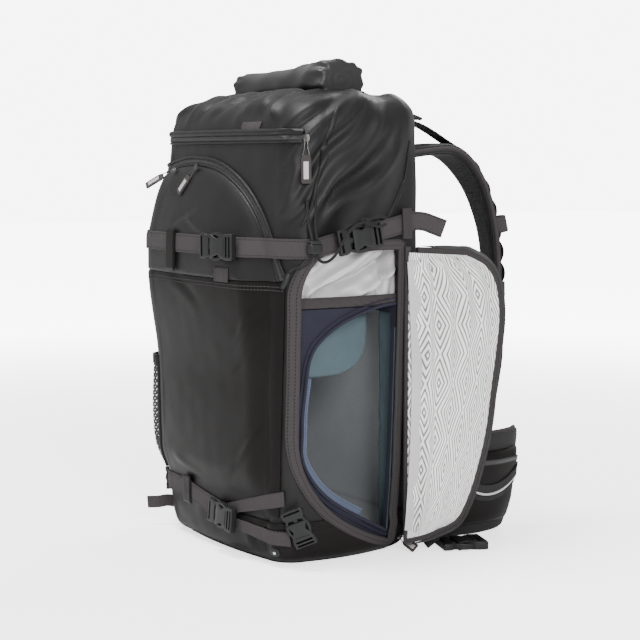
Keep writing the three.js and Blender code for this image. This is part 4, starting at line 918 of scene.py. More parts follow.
def zip_coil():
    """Zip tape with its coil: teeth in the middle, a twill tape on both sides."""
    f = Finish("zip_coil", roughness=0.75, specular_ior_level=0.35)
    along, across = f.uv()
    side = across.abs()
    coil = side.below(1.7)
    tooth = along.wave(1.3) * 0.5 + 0.5
    twill = (along + across).wave(1.1) * 0.5 + 0.5
    tone = coil * tooth * 0.8 + (1 - coil) * (0.25 + twill * 0.2)
    f.base(f.colour((0.006, 0.006, 0.0065), (0.03, 0.028, 0.028), tone))
    f.roughness(0.75 - coil * 0.35)
    f.bump(coil * tooth + (1 - coil) * twill * 0.25, 0.7, 0.5)
    return f.material


def lining_cloth(name="pale_lining", colour=PALE, pattern=False):
    """Thin pale nylon with a fine grain; with the pattern, a lattice of nested diamonds."""
    f = Finish(name, roughness=0.42, specular_ior_level=0.5)
    cloud = f.noise(40, 3)
    grain = f.noise(0.6, 2)
    cloth = f.colour(shade(colour, 0.9), shade(colour, 1.06), cloud)
    height = grain * 0.6
    if pattern:
        along, across = f.uv()
        wide, tall, line = 36, 60, 3.5
        a = (along / wide).fract() - 0.5
        b = (across / tall).fract() - 0.5
        inside = a.abs() * wide + b.abs() * (wide * wide / tall)
        outside = (0.5 - a.abs()) * wide + (0.5 - b.abs()) * (wide * wide / tall)
        ring = inside.least(outside)
        shade_of = ((ring / line).fract() - 0.5).abs().below(0.2)
        cloth = f.colour(cloth, shade(colour, 0.1), shade_of * 0.92)
        height = height - shade_of * 0.25
    f.base(cloth)
    f.bump(height, 0.22, 0.14)
    return f.material


def insert_cloth():
    """Navy padding on the mouth side; inside, a grey back and a pale blue punched front wall."""
    f = Finish("insert_cloth", roughness=0.92, specular_ior_level=0.2)
    cloud = f.noise(22, 3)
    fuzz = f.noise(0.8, 3)
    mixed = cloud * 0.5 + fuzz * 0.5
    x, y, z = f.parts(f.object_at())
    holes = f.add("ShaderNodeTexVoronoi", {"feature": "F1"},
                  {"Vector": f.object_at((0.05, 1, 1)), "Scale": 1000 / 4.2, "Randomness": 0.1})
    punched = f.colour((0.12, 0.15, 0.24), (0.2, 0.25, 0.38), holes.between(0.25, 0.38))
    turn = 2 * math.pi * 1000 / 5
    grid = ((y * turn).sin() * (z * turn).sin()).abs().between(0.02, 0.2)
    grey = f.colour((0.22, 0.23, 0.235), (0.36, 0.375, 0.385), grid * 0.5 + mixed * 0.5)
    inside = f.colour(grey, punched, 1 - y.between(-0.073, -0.069))
    navy_side = f.colour(shade(NAVY, 0.75), shade(NAVY, 1.6), mixed)
    teal_side = f.colour(shade(TEAL, 0.7), shade(TEAL, 1.2), cloud * 0.4 + fuzz * 0.6)
    by_hinge = y.between(0.0455, 0.046) * z.between(0.018, 0.0185) * (1 - z.between(0.2385, 0.239))
    f.base(f.colour(inside, f.colour(navy_side, teal_side, by_hinge), x.between(0.0885, 0.09)))
    f.bump(fuzz + cloud * 0.6, 0.45, 0.3)
    return f.material


def punched_facing():
    f = Finish("punched_facing", roughness=0.85, specular_ior_level=0.25)
    along, across = f.uv()
    grain = f.noise(0.8, 3)
    dot = ((along / 2.6).fract() - 0.5).abs().below(0.22) * (across.abs() - 2.6).abs().below(0.45)
    f.base(f.colour(f.colour((0.044, 0.055, 0.086), (0.08, 0.096, 0.145), grain), shade(NAVY, 0.7), dot))
    f.bump(grain * 0.5 - dot, 0.4, 0.25)
    return f.material


def padded_navy():
    f = Finish("navy_padding", roughness=0.92, specular_ior_level=0.2)
    cloud = f.noise(22, 3)
    fuzz = f.noise(0.8, 3)
    f.base(f.colour(shade(NAVY, 0.8), shade(NAVY, 1.7), cloud * 0.5 + fuzz * 0.5))
    f.bump(fuzz + cloud * 0.6, 0.45, 0.3)
    return f.material


def teal_felt():
    f = Finish("teal_felt", roughness=0.95, specular_ior_level=0.2)
    cloud = f.noise(16, 3)
    fuzz = f.noise(0.7, 3)
    f.base(f.colour(shade(TEAL, 0.7), shade(TEAL, 1.2), cloud * 0.4 + fuzz * 0.6))
    f.bump(fuzz + cloud, 0.5, 0.35)
    return f.material


def pad_cloth():
    f = Finish("pad_cloth", roughness=0.8, specular_ior_level=0.3)
    grain = f.noise(0.9, 2)
    cloud = f.noise(30, 3)
    colour = (0.009, 0.0087, 0.009)
    f.base(f.colour(shade(colour, 0.8), shade(colour, 1.4), cloud * 0.6 + grain * 0.4))
    f.bump(grain * 0.5 + weave_height(f, 1.3) * 0.5, 0.4, 0.25)
    return f.material


def spacer_mesh():
    """Open spacer mesh over foam: small round holes, close together."""
    f = Finish("spacer_mesh", roughness=0.85, specular_ior_level=0.25)
    cells = f.add("ShaderNodeTexVoronoi", {"feature": "F1"},
                  {"Vector": f.object_at(), "Scale": 1000 / 2.6, "Randomness": 0.25})
    hole = 1 - cells.between(0.28, 0.42)
    grain = f.noise(0.6, 2)
    f.base(f.colour((0.017, 0.0165, 0.017), (0.003, 0.003, 0.003), hole))
    f.bump(grain * 0.25 - hole, 0.6, 0.5)
    return f.material


def open_mesh():
    """A knitted mesh with diamond holes right through it."""
    f = Finish("open_mesh", roughness=0.75)
    along, across = f.uv()
    a = ((along + across * 0.7) / 4.6).fract() - 0.5
    b = ((along - across * 0.7) / 4.6).fract() - 0.5
    solid = a.abs().most(b.abs()).above(0.3)
    f.base(f.colour((0.006, 0.006, 0.006), (0.02, 0.02, 0.021), f.noise(0.8, 2)))
    f.put(f.shader.inputs["Alpha"], solid)
    return f.material


def worn_metal():
    f = Finish("zip_metal", metallic=1.0)
    scratch = f.noise(0.6, 3, f.object_at((1, 1, 9)))
    f.base(f.colour((0.04, 0.038, 0.038), (0.13, 0.125, 0.12), scratch))
    f.roughness(0.3 + scratch * 0.2)
    f.bump(scratch, 0.15, 0.05)
    return f.material


def cord_sheath():
    """Braided sheath of an elastic cord."""
    f = Finish("cord_sheath", roughness=0.8, specular_ior_level=0.25)
    along, around = f.uv()
    braid = (along + around).wave(1.1) * (along - around).wave(1.1)
    f.base(f.colour((0.003, 0.003, 0.003), (0.016, 0.0155, 0.016), braid * 0.5 + 0.5))
    f.bump(braid, 0.6, 0.2)
    return f.material


def plain(name, colour, roughness=0.8, grain_size=0.8, strength=0.25):
    f = Finish(name, roughness=roughness)
    grain = f.noise(grain_size, 2)
    cloud = f.noise(25, 3)
    f.base(f.colour(shade(colour, 0.85), shade(colour, 1.15), grain * 0.5 + cloud * 0.5))
    f.bump(grain, strength, 0.2)
    return f.material


shell = shell_cloth()
# The roll is the body's shell cloth with its colour raised 1.5 times and more gloss: painted light on the
# roll, whose front the lamps leave dark.
roll_cloth_painted_light = shell_cloth("roll_cloth_painted_light", shade(SHELL, 1.5), 0.4)
coated = coated_cloth()
strap_web = webbing("strap_webbing_cloth", BROWN, (-7.6, 7.6), thread=DARK_THREAD)
plain_web = webbing("tape_cloth", shade(BROWN, 0.8), ())
black_web = webbing("black_webbing", (0.014, 0.0132, 0.0135), (-7.6, 7.6))
binding = webbing("binding_tape", shade(BROWN, 0.9), (0,), width=12, thread=shade(BROWN, 0.4))
plastic = moulded_plastic()
coil = zip_coil()
lining = lining_cloth()
door_lining = lining_cloth("patterned_lining", (0.78, 0.77, 0.765), pattern=True)
navy = padded_navy()
blue_facing = punched_facing()
insert_finish = insert_cloth()
felt = teal_felt()
pad = pad_cloth()
spacer = spacer_mesh()
net = open_mesh()
metal = worn_metal()
bright = Finish("bright_metal", roughness=0.3, metallic=1.0, base_color=(0.62, 0.61, 0.6, 1)).material
sheath = cord_sheath()


# The body and its pockets

def bezier(points, count):
    t = np.linspace(0, 1, count + 1)[:, None]
    p = [np.array(q, float) for q in points]
    if len(p) == 3:
        return (1 - t) ** 2 * p[0] + 2 * t * (1 - t) * p[1] + t * t * p[2]
    return (1 - t) ** 3 * p[0] + 3 * t * (1 - t) ** 2 * p[1] + 3 * t * t * (1 - t) * p[2] + t ** 3 * p[3]


def opening_outline(grow=0.0, fine=14):
    """The door opening in (y, z), from the foot of the hinge up and round."""
    front, height = HINGE_Y - OPENING_WIDTH, OPENING_TOP - OPENING_BOTTOM
    lines = [
        [(HINGE_Y + grow, OPENING_BOTTOM - grow)],
        [(HINGE_Y + grow, OPENING_TOP + grow)],
        bezier([(front + 0.42 * OPENING_WIDTH, OPENING_TOP + grow), (front - grow, OPENING_TOP + grow),
                (front - grow, OPENING_BOTTOM + 0.84 * height)], fine),
        bezier([(front - grow, OPENING_BOTTOM + 0.4 * height), (front - grow, OPENING_BOTTOM + 0.2 * height),
                (front + 0.4 * OPENING_WIDTH - grow, OPENING_BOTTOM + 0.07 * height - grow),
                (HINGE_Y + grow, OPENING_BOTTOM - grow)], fine)[:-1],
    ]
    return np.concatenate([np.array(line, float) for line in lines])


def even_loop(outline, count):
    closed = np.vstack([outline, outline[:1]])
    length = lengths_along(closed)
    at = np.linspace(0, length[-1], count, endpoint=False)
    return np.stack([np.interp(at, length, closed[:, k]) for k in range(2)], -1)


opening = opening_outline()

body = solid_between("bag_cloth", 0, LAST_ROW, 320, 180, 0)
apply_modifier(body, "SMOOTH", factor=0.5, iterations=1)
hollow = solid_between("hollow", 0.02, LAST_ROW - 0.02, 160, 90, -CLOTH - 6, "smooth")
cut(body, hollow)
cut(body, prism_x("door_cut", opening, *SIDE_CUT))
remove_slivers(body)
finish_cut(body, shell, "shell", "bag_body")

# The base tray: smooth coated cloth with a turned edge, cut clear of the zip tape
BASE_TOP = 46
base = solid_between("base_tray", 0, 3, 240, 60, GAP + BASE_CLOTH)
cut(base, solid_between("base_room", 0.005, 3.1, 240, 60, GAP))
cut(base, block("above_base", (-FAR, -FAR, BASE_TOP), (FAR, FAR, FAR)))
cut(base, prism_x("base_cut", opening_outline(TAPE_OUT + GAP), *SIDE_CUT))
remove_slivers(base)
finish_cut(base, coated, "coated", "base_panel")


# Wrinkles of the pockets: from (place, height) to (place, height), width and height in mm
WRINKLES = [
    (0.97, 262, 0.78, 226, 3.4, 1.2),
    (0.98, 236, 0.8, 196, 3.2, -1.0),
    (0.97, 250, 0.78, 214, 2.6, 1.1),
    (0.98, 140, 0.8, 96, 4.0, 0.9),
    (0.96, 122, 0.72, 82, 3.6, -0.9),
    (0.1, 90, 0.45, 74, 4.5, 1.1),
    (0.2, 296, 0.5, 262, 6.0, -0.9),
    (0.35, 352, 0.6, 330, 4.0, 1.3),
    (0.2, 345, 0.42, 360, 4.0, -1.0),
]


def wrinkles(place, z):
    around = round_length(place)
    total = 0.16 * waver(around, z, 120, 81) + 0.07 * waver(around, z, 34, 82)
    bent = around + 4 * waver(around, z, 70, 83)
    for p1, z1, p2, z2, width, height in WRINKLES:
        a1, a2 = (float(round_length(np.array(p))) for p in (p1, p2))
        _, t, signed = away_from_line(bent, z, a1, z1, a2, z2)
        ends = smooth(t, -0.15, 0.2) * (1 - smooth(t, 0.6, 1.15))
        total = total + height * ends * fold_form(signed, width, 0.4, spread=1.2)
    return total


def pocket(name, places, low, high, finish, slot, node, rows=44):
    """A pocket standing off the body: places round the bag, and the heights of its foot and top."""
    place = places[None, :]
    v = np.linspace(0, 1, rows)[:, None]
    v = np.sort(np.concatenate([v, [[0.004], [0.996]]]), axis=0)
    z = mix(np.broadcast_to(low, places.shape)[None, :], np.broadcast_to(high, places.shape)[None, :], v)
    rim = np.minimum(smooth(v, -0.002, 0.012), 1 - smooth(v, 0.988, 1.002))
    drop = -1.2 * (1 - rim) * np.ones_like(z)
    outer = layers["pockets"].at(place + 0 * z, z, drop + rim * wrinkles(place + 0 * z, z))
    inner = layers["bare"].at(place + 0 * z, z, GAP)
    across = lengths_along(outer[rows // 2])
    uv = np.stack([np.broadcast_to(across[None, :], z.shape), z], -1) * MM
    return thick_sheet(name, outer, inner, finish, slot, node, uv)


def level_band(z, first, last, layer="bare"):
    """For strip: a band round the bag, its height a number or a function of the place."""
    target = layers[layer]

    def place(u, a, lift):
        where = mix(first, last, u)
        height = z(where) if callable(z) else z
        return target.at(where, height + a, lift)
    return place


right_edge = float(place_of_x(POCKET_RIGHT, 200, "pockets"))
stash_places = np.linspace(-1.0, right_edge, 150)
pocket("stash_panel", stash_places, STASH_BOTTOM, STASH_TOP - GAP, coated, "coated", "stash_pocket", rows=90)

stitch_row = webbing("stitch_row", shade(COATED, 1.3), (0,), width=2, thread=(0.035, 0.032, 0.032))
for word, height in (("high", STASH_TOP - 5), ("low", STASH_TOP - 8.5)):
    strip(f"stash_stitches_{word}", level_band(height, -0.9, right_edge - 0.01, "pockets"), 140, 1.6, 0.2,
          stitch_row, "webbing", floor=0.15)

arch_steps = np.concatenate([np.linspace(-1.0, -0.02, 18), place_of_x(np.linspace(-104, 114.4, 110), 330)])
arch_x = layers["bare"].at(arch_steps, np.full(len(arch_steps), 340.0))[:, 0]
arch_top = np.maximum(arch_height(arch_x), STASH_TOP + 0.6)
pocket("arch_front", arch_steps, STASH_TOP, arch_top, shell, "shell", "arch_pocket", rows=60)


def offset_line(line, distance):
    along = directions(line)
    return line + np.stack([-along[:, 1], along[:, 0]], -1) * distance


def laid_on_front(line, layer="bare", turn=0):
    """For strip: a place on a layer beside a line drawn in (x, z), a turn round the bag."""
    length = lengths_along(line)
    along = directions(line)
    target = layers[layer]

    def place(u, a, lift):
        at = u * length[-1]
        x, z, dx, dz = (np.interp(at, length, column) for column in (*line.T, *along.T))
        return target.hit(turn, x - dz * a, z + dx * a, lift)
    return place


ZIP_WIDTH = 9
arch_line = offset_line(ARCH_CURVE[ARCH_CURVE[:, 0] > -FRONT_EDGE_X], GAP + ZIP_WIDTH / 2)
strip("arch_zip_coil", laid_on_front(arch_line), 150, 6, 0.8, coil, "mesh", "arch_zip", crown=0.5, across=9)
for word, shift in (("inner", -3.9), ("outer", 3.9)):
    strip(f"arch_welt_{word}", laid_on_front(offset_line(arch_line, shift)), 150, 3.6, 1.2, shell, "shell",
          crown=1.5)


brow_ends = [float(place_of_x(x, BROW_ZIP_Z)) for x in (-FRONT_EDGE_X, FRONT_EDGE_X)]
strip("brow_zip_coil", level_band(BROW_ZIP_Z, *brow_ends), 150, 6, 0.8, coil, "mesh", "brow_zip",
      crown=0.5, across=9)
strip("brow_welt", level_band(BROW_ZIP_Z - 4.4, *brow_ends), 150, 2.6, 0.6, shell, "shell", crown=0.9)
# The flap's piped edge over the brow zip
strip("brow_flap_edge", level_band(BROW_ZIP_Z + 5.6, *brow_ends), 140, 6.5, 1.6, shell, "shell", crown=1.8)


def side_seam(points, count=60):
    """A raised seam through (place, height) points, for strip."""
    path = smooth_path(np.array(points, float) * [100, 1], count)
    u_all = np.linspace(0, 1, len(path))
    target = layers["bare"]

    def place(u, a, lift):
        where = np.interp(u, u_all, path[:, 0]) / 100
        z = np.interp(u, u_all, path[:, 1])
        return target.at(where + a / 45, z, lift)
    return place


for name, points, steps, width, crown in (
        ("corner_seam", [(2.12, 462), (2.08, 440), (2.02, 400), (1.9, 372), (1.7, 346)], 90, 2.8, 0.8),
        ("hip_side_seam", [(3.2, 430), (3.1, 405), (2.93, 372), (2.78, 345)], 70, 2.6, 0.7),
        ("left_side_seam", [(5.8, 430), (5.9, 405), (6.07, 372), (6.22, 345)], 70, 2.6, 0.7)):
    strip(name, side_seam(points), steps, width, 0.4, shell, "shell", crown=crown)

# The door zip's tape round the opening
loop = even_loop(opening, 300)
closed = np.vstack([loop, loop[:1]])
ahead = np.roll(loop, -2, axis=0) - np.roll(loop, 2, axis=0)
ahead /= np.linalg.norm(ahead, axis=-1, keepdims=True)


def round_opening(u, a, lift):
    """For strip: beside the opening's edge; a is positive outwards from the opening."""
    at = (u * len(loop)) % len(loop)
    k = np.arange(len(loop) + 1)
    y, z, dy, dz = (np.interp(at, k, np.append(c, c[0])) for c in (*loop.T, *ahead.T))
    shift = a + 2.5
    return layers["bare"].hit(90, y + dz * shift, z - dy * shift, lift)


tape_web = webbing("door_tape_cloth", shade(BROWN, 0.95), (3.6, -1.2), width=11, thread=DARK_THREAD)
strip("door_zip_band", round_opening, 300, 11, 1.5, tape_web, "webbing", "door_zip_tape", floor=GAP,
      across=9, wrap=True)


# The rolled closure

roll_low, roll_high = (np.array(v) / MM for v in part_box("roll_top"))
roll_middle = (roll_low + roll_high) / 2
ROLL_HALF, ROLL_DEEP, ROLL_TALL, ROLL_DROP = (roll_high[0] - roll_low[0]) / 2, 26.5, 19.5, 5.0


def rolled_bolster():
    """The cloth rolled up: flat under, rounded at the ends, where it is gathered in a spiral."""
    along = np.concatenate([np.linspace(0, 1, 26)[:-1] ** 0.8 - 1.0, np.linspace(0, 1, 120),
                            1 + np.linspace(0, 1, 27)[1:] ** 1.25])
    turn = np.linspace(0, 2 * math.pi, 120, endpoint=False)
    s, t = np.meshgrid(along, turn, indexing="ij")
    end = np.where(s < 0, -s, np.where(s > 1, s - 1, 0))
    side = np.where(s > 0.5, 1, -1)
    cap = 8 * np.sin(np.minimum(end / 0.34, 1) * math.pi / 2) + 1.6 * end
    x = (np.clip(s, 0, 1) * 2 - 1) * (ROLL_HALF - 8) + side * cap
    power = 2.5
    c, n = np.cos(t), np.sin(t)
    y = np.sign(c) * np.abs(c) ** (2 / power) * ROLL_DEEP
    z = np.sign(n) * np.abs(n) ** (2 / power) * ROLL_TALL
    z = np.where(z < 0, z * 0.93, z)
    face = np.where(end > 0, np.clip(end, 0, 1), 0)
    radius = np.where(end < 0.3, 1 - 0.2 * (end / 0.3) ** 2, 0.8 * (1 - (end - 0.3) / 0.7))
    y, z = y * radius, z * radius
    # turns of the roll show on its ends
    spiral = np.sin(2 * math.pi * (radius * 3.2 + t / (2 * math.pi)))
    spiral = spiral * smooth(face, 0.32, 0.5) * (1 - smooth(face, 0.8, 1))
    x = x + side * spiral * 0.12
    pucker = np.cos(t * 11 + side) * smooth(np.abs(s - 0.5), 0.38, 0.56) * (1 - smooth(face, 0.25, 0.5)) * 0.9
    crumple = 1.3 * np.exp(-((t - 1.75) / 0.5) ** 2) * waver(x, t * 9, 13, 61)
    pucker = pucker + crumple * smooth(x, 20, 60) * (1 - smooth(face, 0.2, 0.6))
    soft = waver(x, t * 15, 42, 12) * 1.0 + waver(x, t * 26, 26, 13) * (0.3 + 0.9 * smooth(x, -20, 70))
    swell = 1 + (pucker + soft * (1 - smooth(face, 0.3, 0.9))) / 20
    sag = 1.5 * (x / 88) ** 2 + 0.02 * x
    share = x / ROLL_HALF / 2 + 0.5
    swell = swell * (0.85 + 0.25 * share)
    # the loose edge of the last turn, along the front of the roll
    lip = 1.1 * smooth(t, 3.72, 3.82) * (1 - smooth(t, 3.82, 5.6)) * (1 - smooth(face, 0, 0.4))
    rolled = np.stack([x, y * swell + np.sign(y) * lip, z * swell + sag - lip * 0.2], -1)
    return rolled + roll_middle - [0, 0, ROLL_DROP]


roll = rolled_bolster()
count, around_count = roll.shape[:2]
roll_faces = [tuple(f) for f in grid_faces(count, around_count, 0, wrap_j=True)]
roll_faces += [tuple(range(around_count)),
               tuple(range((count - 1) * around_count, count * around_count))[::-1]]
make_piece("rolled_cloth", roll.reshape(-1, 3), roll_faces, roll_cloth_painted_light, "shell", "roll_top")
top_line = roll[6:-30, 24]
sweep("roll_seam", top_line + [0, 0, 0.5], (0, 1, 0), round_loop(1.0, 8), binding, "webbing")


# Compression straps

def upper_line(y):
    return UPPER_STRAP_Z + UPPER_STRAP_RISE * np.maximum((y + 62) / 122, 0)


def upper_height(place):
    ys = layers["straps"].at(place, np.full(np.shape(place), 330.0))[..., 1]
    return upper_line(ys)


UPPER_BUCKLE_X = 46
buckle_place = float(place_of_x(UPPER_BUCKLE_X, UPPER_STRAP_Z, "straps"))
for name, first, last, node in (
        ("upper_strap_left_run", -2.05, buckle_place - 0.004, "upper_strap_front"),
        ("upper_strap_right_run", buckle_place + 0.004, 3.06, "upper_strap_side")):
    strip(name, level_band(upper_height, first, last, "straps"), 170, WEB_WIDTH, WEBBING,
          strap_web, "webbing", node)


def lower_height(place):
    xs = layers["straps"].at(place, np.full(np.shape(place), 52.0))[..., 0]
    return 56 - 14 * np.clip((xs + 60) / 90, 0, 1)


lower_end = float(place_of_x(29.6, 42, "straps"))
strip("lower_strap_wide", level_band(lower_height, -1.17, lower_end, "straps"), 120, WEB_WIDTH, WEBBING,
      strap_web, "webbing", "lower_strap_left")


def tapered_band(low_edge, high_edge, layer="straps"):
    """For strip: between two lines drawn in (x, z); the strip's width is then 2."""
    target = layers[layer]

    def place(u, a, lift):
        share = (a + 1) / 2
        x = mix(mix(low_edge[0][0], low_edge[1][0], u), mix(high_edge[0][0], high_edge[1][0], u), share)
        z = mix(mix(low_edge[0][1], low_edge[1][1], u), mix(high_edge[0][1], high_edge[1][1], u), share)
        return target.hit(0, x, z, lift)
    return place


def narrow_strip(name, low_edge, high_edge, node):
    place = tapered_band(low_edge, high_edge)
    half = 1.0
    a = np.array([-1, -0.94, -0.5, 0, 0.5, 0.94, 1]) * half
    u = np.linspace(0, 1, 60)
    uu, aa = np.meshgrid(u, a, indexing="ij")
    top = GAP + WEBBING * np.where(np.abs(aa) > 0.99, 0.45, 1)
    outer, inner = place(uu, aa, top), place(uu, aa, np.full(uu.shape, GAP))
    along = lengths_along(outer[:, 3])
    wide = np.linalg.norm(outer[:, -1] - outer[:, 0], axis=-1)
    uv = np.stack([np.broadcast_to(along[:, None], uu.shape), aa * wide[:, None] / 2], -1) * MM
    return thick_sheet(name, outer, inner, strap_web, "webbing", node, uv)


narrow_strip("lower_strap_high_run", [(30.4, 42.4), (118, 64)], [(30.4, 54), (118, 80)],
             "lower_strap_upper_run")
narrow_strip("lower_strap_low_run", [(30.4, 32), (118, 22)], [(30.4, 41.6), (118, 38)],
             "lower_strap_lower_run")


# The open door

DOOR_EDGE = np.array([
    [0.36, 0.018], [0.56, 0.048], [0.69, 0.13], [0.8, 0.25], [0.875, 0.37], [0.92, 0.5],
    [0.965, 0.62], [1.0, 0.74], [0.985, 0.83], [0.93, 0.9], [0.82, 0.95], [0.64, 0.985],
])
DOOR_WIDTH, DOOR_THICKNESS, DOOR_BINDING = 119, 4, 7
DOOR_FLARE, DOOR_HINGE_X, DOOR_BOW, TAPE_LAP = 5, 131, 9, 3
DOOR_HEIGHT = OPENING_TOP - OPENING_BOTTOM
flare = math.radians(DOOR_FLARE)
door_along = np.array([math.sin(flare), math.cos(flare), 0])
door_out = np.array([door_along[1], -door_along[0], 0])
edge_curve = spline(DOOR_EDGE, 110)


def door_point(u, v, inset=0.0, lift=0.0):
    """A place on the door: u from the hinge out, v from its foot up, lift towards its lining."""
    u, v, lift = np.broadcast_arrays(*(np.asarray(t, float) for t in (u, v, lift)))
    along = np.linspace(0, 1, len(edge_curve))
    reach = np.interp(v, along, edge_curve[:, 0]) * DOOR_WIDTH - inset
    hinge_z = OPENING_BOTTOM + inset + v * (DOOR_HEIGHT - 2 * inset)
    free_z = OPENING_BOTTOM + np.interp(v, along, edge_curve[:, 1]) * DOOR_HEIGHT + inset * (1 - 2 * v)
    bow = DOOR_BOW * np.sin(math.pi * u) * (0.4 + 0.6 * np.sin(math.pi * v))
    start = np.array([DOOR_HINGE_X + TAPE_LAP + DOOR_THICKNESS, HINGE_Y + TAPE_OUT + GAP, 0])
    p = start + (u * reach)[..., None] * door_along + (bow + lift)[..., None] * door_out
    p[..., 2] = mix(hinge_z, free_z, u)
    return p


# Upright folds of the door's lining: place from the hinge, width and height in mm, and the
# shares of the door's height that they lie between
UPRIGHT_FOLDS = [
    (20, 5, 2.6, -0.2, 1.2), (33, 5, -1.8, 0.1, 1.2), (47, 6, 2.2, 0.3, 1.2), (61, 5, -1.5, 0.45, 1.3),
    (73, 6, 2.4, 0.4, 1.3), (88, 5, -1.6, 0.5, 1.3), (99, 5, 1.8, 0.5, 1.3), (28, 9, 2.5, -0.3, 0.4),
]
# Slanting folds: from (place, height) to (place, height), width and height in mm
SLANTING_FOLDS = [
    (14, 235, 34, 140, 7, 3.4), (8, 205, 30, 110, 5, -2.6), (96, 250, 60, 292, 6, 2.6),
    (104, 190, 84, 120, 6, 2.2), (30, 60, 96, 24, 7, 2.2), (16, 268, 60, 300, 5, 2.2),
]


def door_puff(u, v):
    """Soft vertical folds of the lining, gathered along the top and by the hinge."""
    y, z = u * DOOR_WIDTH, v * DOOR_HEIGHT
    swing = 7 * waver(z, y, 140, 21)
    folds = np.zeros_like(y)
    for centre, width, height, low, high in UPRIGHT_FOLDS:
        span = smooth(v, low, low + 0.3) * (1 - smooth(v, high - 0.3, high))
        folds += height * span * np.exp(-((y + swing * 0.6 - centre) / width) ** 2)
    gather = 1.2 * np.sin(y / 3.4 + 2 * waver(y, z, 60, 22)) * smooth(v, 0.86, 0.98)
    edge = smooth(u, 0, 0.05) * (1 - smooth(u, 0.95, 1)) * smooth(v, 0, 0.05) * (1 - smooth(v, 0.97, 1))
    crossing = drawn_folds(y, z, SLANTING_FOLDS, 0.15)
    return 2.8 + (1.9 * folds + crossing + 1.3 * gather + 1.4 * waver(y, z, 45, 23)) * edge


def door_sheet(name, lift_out, lift_in, inset, finish, slot, fine=(76, 150)):
    u, v = np.meshgrid(np.linspace(0, 1, fine[0]), np.linspace(0, 1, fine[1]), indexing="ij")
    outer = door_point(u, v, inset, lift_out(u, v))
    inner = door_point(u, v, inset, lift_in(u, v))
    uv = np.stack([outer[..., 2], u * DOOR_WIDTH], -1) * MM
    uv = uv[..., ::-1]
    return thick_sheet(name, outer, inner, finish, slot, "side_door", uv)


def flat(value):
    return lambda u, v: np.full(u.shape, float(value))


door_sheet("door_lining", lambda u, v: 0.9 + door_puff(u, v), flat(0.15), 6.2, door_lining, "lining")
door_sheet("door_back", flat(0.0), lambda u, v: -1.9 - 0.9 * np.sin(math.pi * u) * np.sin(math.pi * v)
           - 0.5 * waver(u * 119, v * 310, 50, 24), 6.2, shell, "shell", fine=(40, 90))


def door_rim():
    """The free edge of the door, from the foot of the hinge round to its top."""
    inset = DOOR_BINDING / 2
    foot = door_point(np.linspace(0, 0.94, 16), 0.0, inset)
    side = door_point(1.0, np.linspace(0, 1, 90), inset)
    head = door_point(np.linspace(0.94, 0, 14), 1.0, inset)
    return smooth_path(np.concatenate([foot, side, head])[::3], 220)


rim = door_rim()
rim_along = directions(rim)
rim_across = np.cross(door_out, rim_along)
tube = [(-3.6, 0), (-3.4, 1.7), (-1.8, 2.9), (0.8, 3.1), (2.8, 2.5), (3.7, 1.3), (3.9, 0),
        (3.7, -1.3), (2.8, -2.5), (0.8, -3.1), (-1.8, -2.9), (-3.4, -1.7)]
sweep("door_edge_binding", rim, rim_across, tube, binding, "webbing", "door_binding")

# The zip's other half along the door's free edge, and the strip of cloth beside the hinge
inner_rim = rim - rim_across / np.linalg.norm(rim_across, axis=-1, keepdims=True) * 4.6 + door_out * 1.9
run_in = np.minimum(np.linspace(0, 14, len(inner_rim)), np.linspace(14, 0, len(inner_rim))).clip(0.05, 1)
sweep("door_zip_teeth", inner_rim, rim_across, flat_loop(3.8, 1.6), coil, "mesh", share=run_in)

down = np.linspace(0.03, 0.97, 60)
hinge_path = door_point(0.055 + 0.03 * np.sin(down * 2.6 + 0.4) ** 2, down, 6.2, 4.4)
sweep("hinge_strip", hinge_path, door_along, flat_loop(15, 1.2), lining, "lining")
hinge_cover = door_point(-0.005, np.linspace(0.0, 1.0, 70), 0, 1.2)
sweep("hinge_binding", hinge_cover, door_along, flat_loop(6.5, 2.6), plain_web, "webbing")


# The insert behind the opening

INSERT_TOP, INSERT_WALL, INSERT_BOTTOM = 262, 8, 7
INSERT_CLEAR = CLOTH + 3 * GAP
MOUTH = np.array([
    [-0.02, 0.812], [-0.23, 0.803], [-0.55, 0.764], [-0.77, 0.707], [-0.875, 0.642],
    [-0.92, 0.52], [-0.935, 0.416], [-0.905, 0.3], [-0.64, 0.17], [-0.02, 0.035],
])
mouth = spline(MOUTH * [OPENING_WIDTH, DOOR_HEIGHT] + [HINGE_Y, OPENING_BOTTOM], 90)


def trimmed(target, low, high):
    cut(target, block("trim", low, high), "INTERSECT")
    return target


insert = trimmed(solid_between("insert_case", 0, 7, 170, 90, -INSERT_CLEAR - 1, "smooth"),
                 (-FAR, -FAR, INSERT_BOTTOM), (FAR, FAR, INSERT_TOP))
room = trimmed(solid_between("insert_room", 0, 7, 120, 70, -INSERT_CLEAR - INSERT_WALL, "smooth"),
               (-FAR, -FAR, INSERT_BOTTOM + INSERT_WALL), (FAR, FAR, INSERT_TOP - INSERT_WALL))
cut(insert, room)
cut(insert, prism_x("mouth_cut", mouth, *SIDE_CUT))
remove_slivers(insert)
finish_cut(insert, insert_finish, "insert", "insert_shell")


def inner_wall(y, z, depth):
    """Points on the right wall inside the body, a depth in from the cloth's outside."""
    return layers["bare"].hit(90, y, z, -depth)


# Piping round the mouth of the insert
piping = inner_wall(mouth[:, 0], mouth[:, 1], INSERT_CLEAR + 0.3)
sweep("mouth_piping", smooth_path(piping[::2], 120), (1, 0, 0), round_loop(1.9, 10), navy, "insert")
# Punched blue facing just inside the mouth, down its front side and along its foot
inside_mouth = offset_line(mouth, 4.2)
shown = (inside_mouth[:, 1] < 196) & (inside_mouth[:, 0] < HINGE_Y - 26)
facing = inner_wall(inside_mouth[shown, 0], inside_mouth[shown, 1], INSERT_CLEAR + 5.5)
facing = smooth_path(facing[::2], 90)
sweep("mouth_facing", facing, np.cross(directions(facing), (1, 0, 0)), flat_loop(10, 1.4), blue_facing,
      "insert")
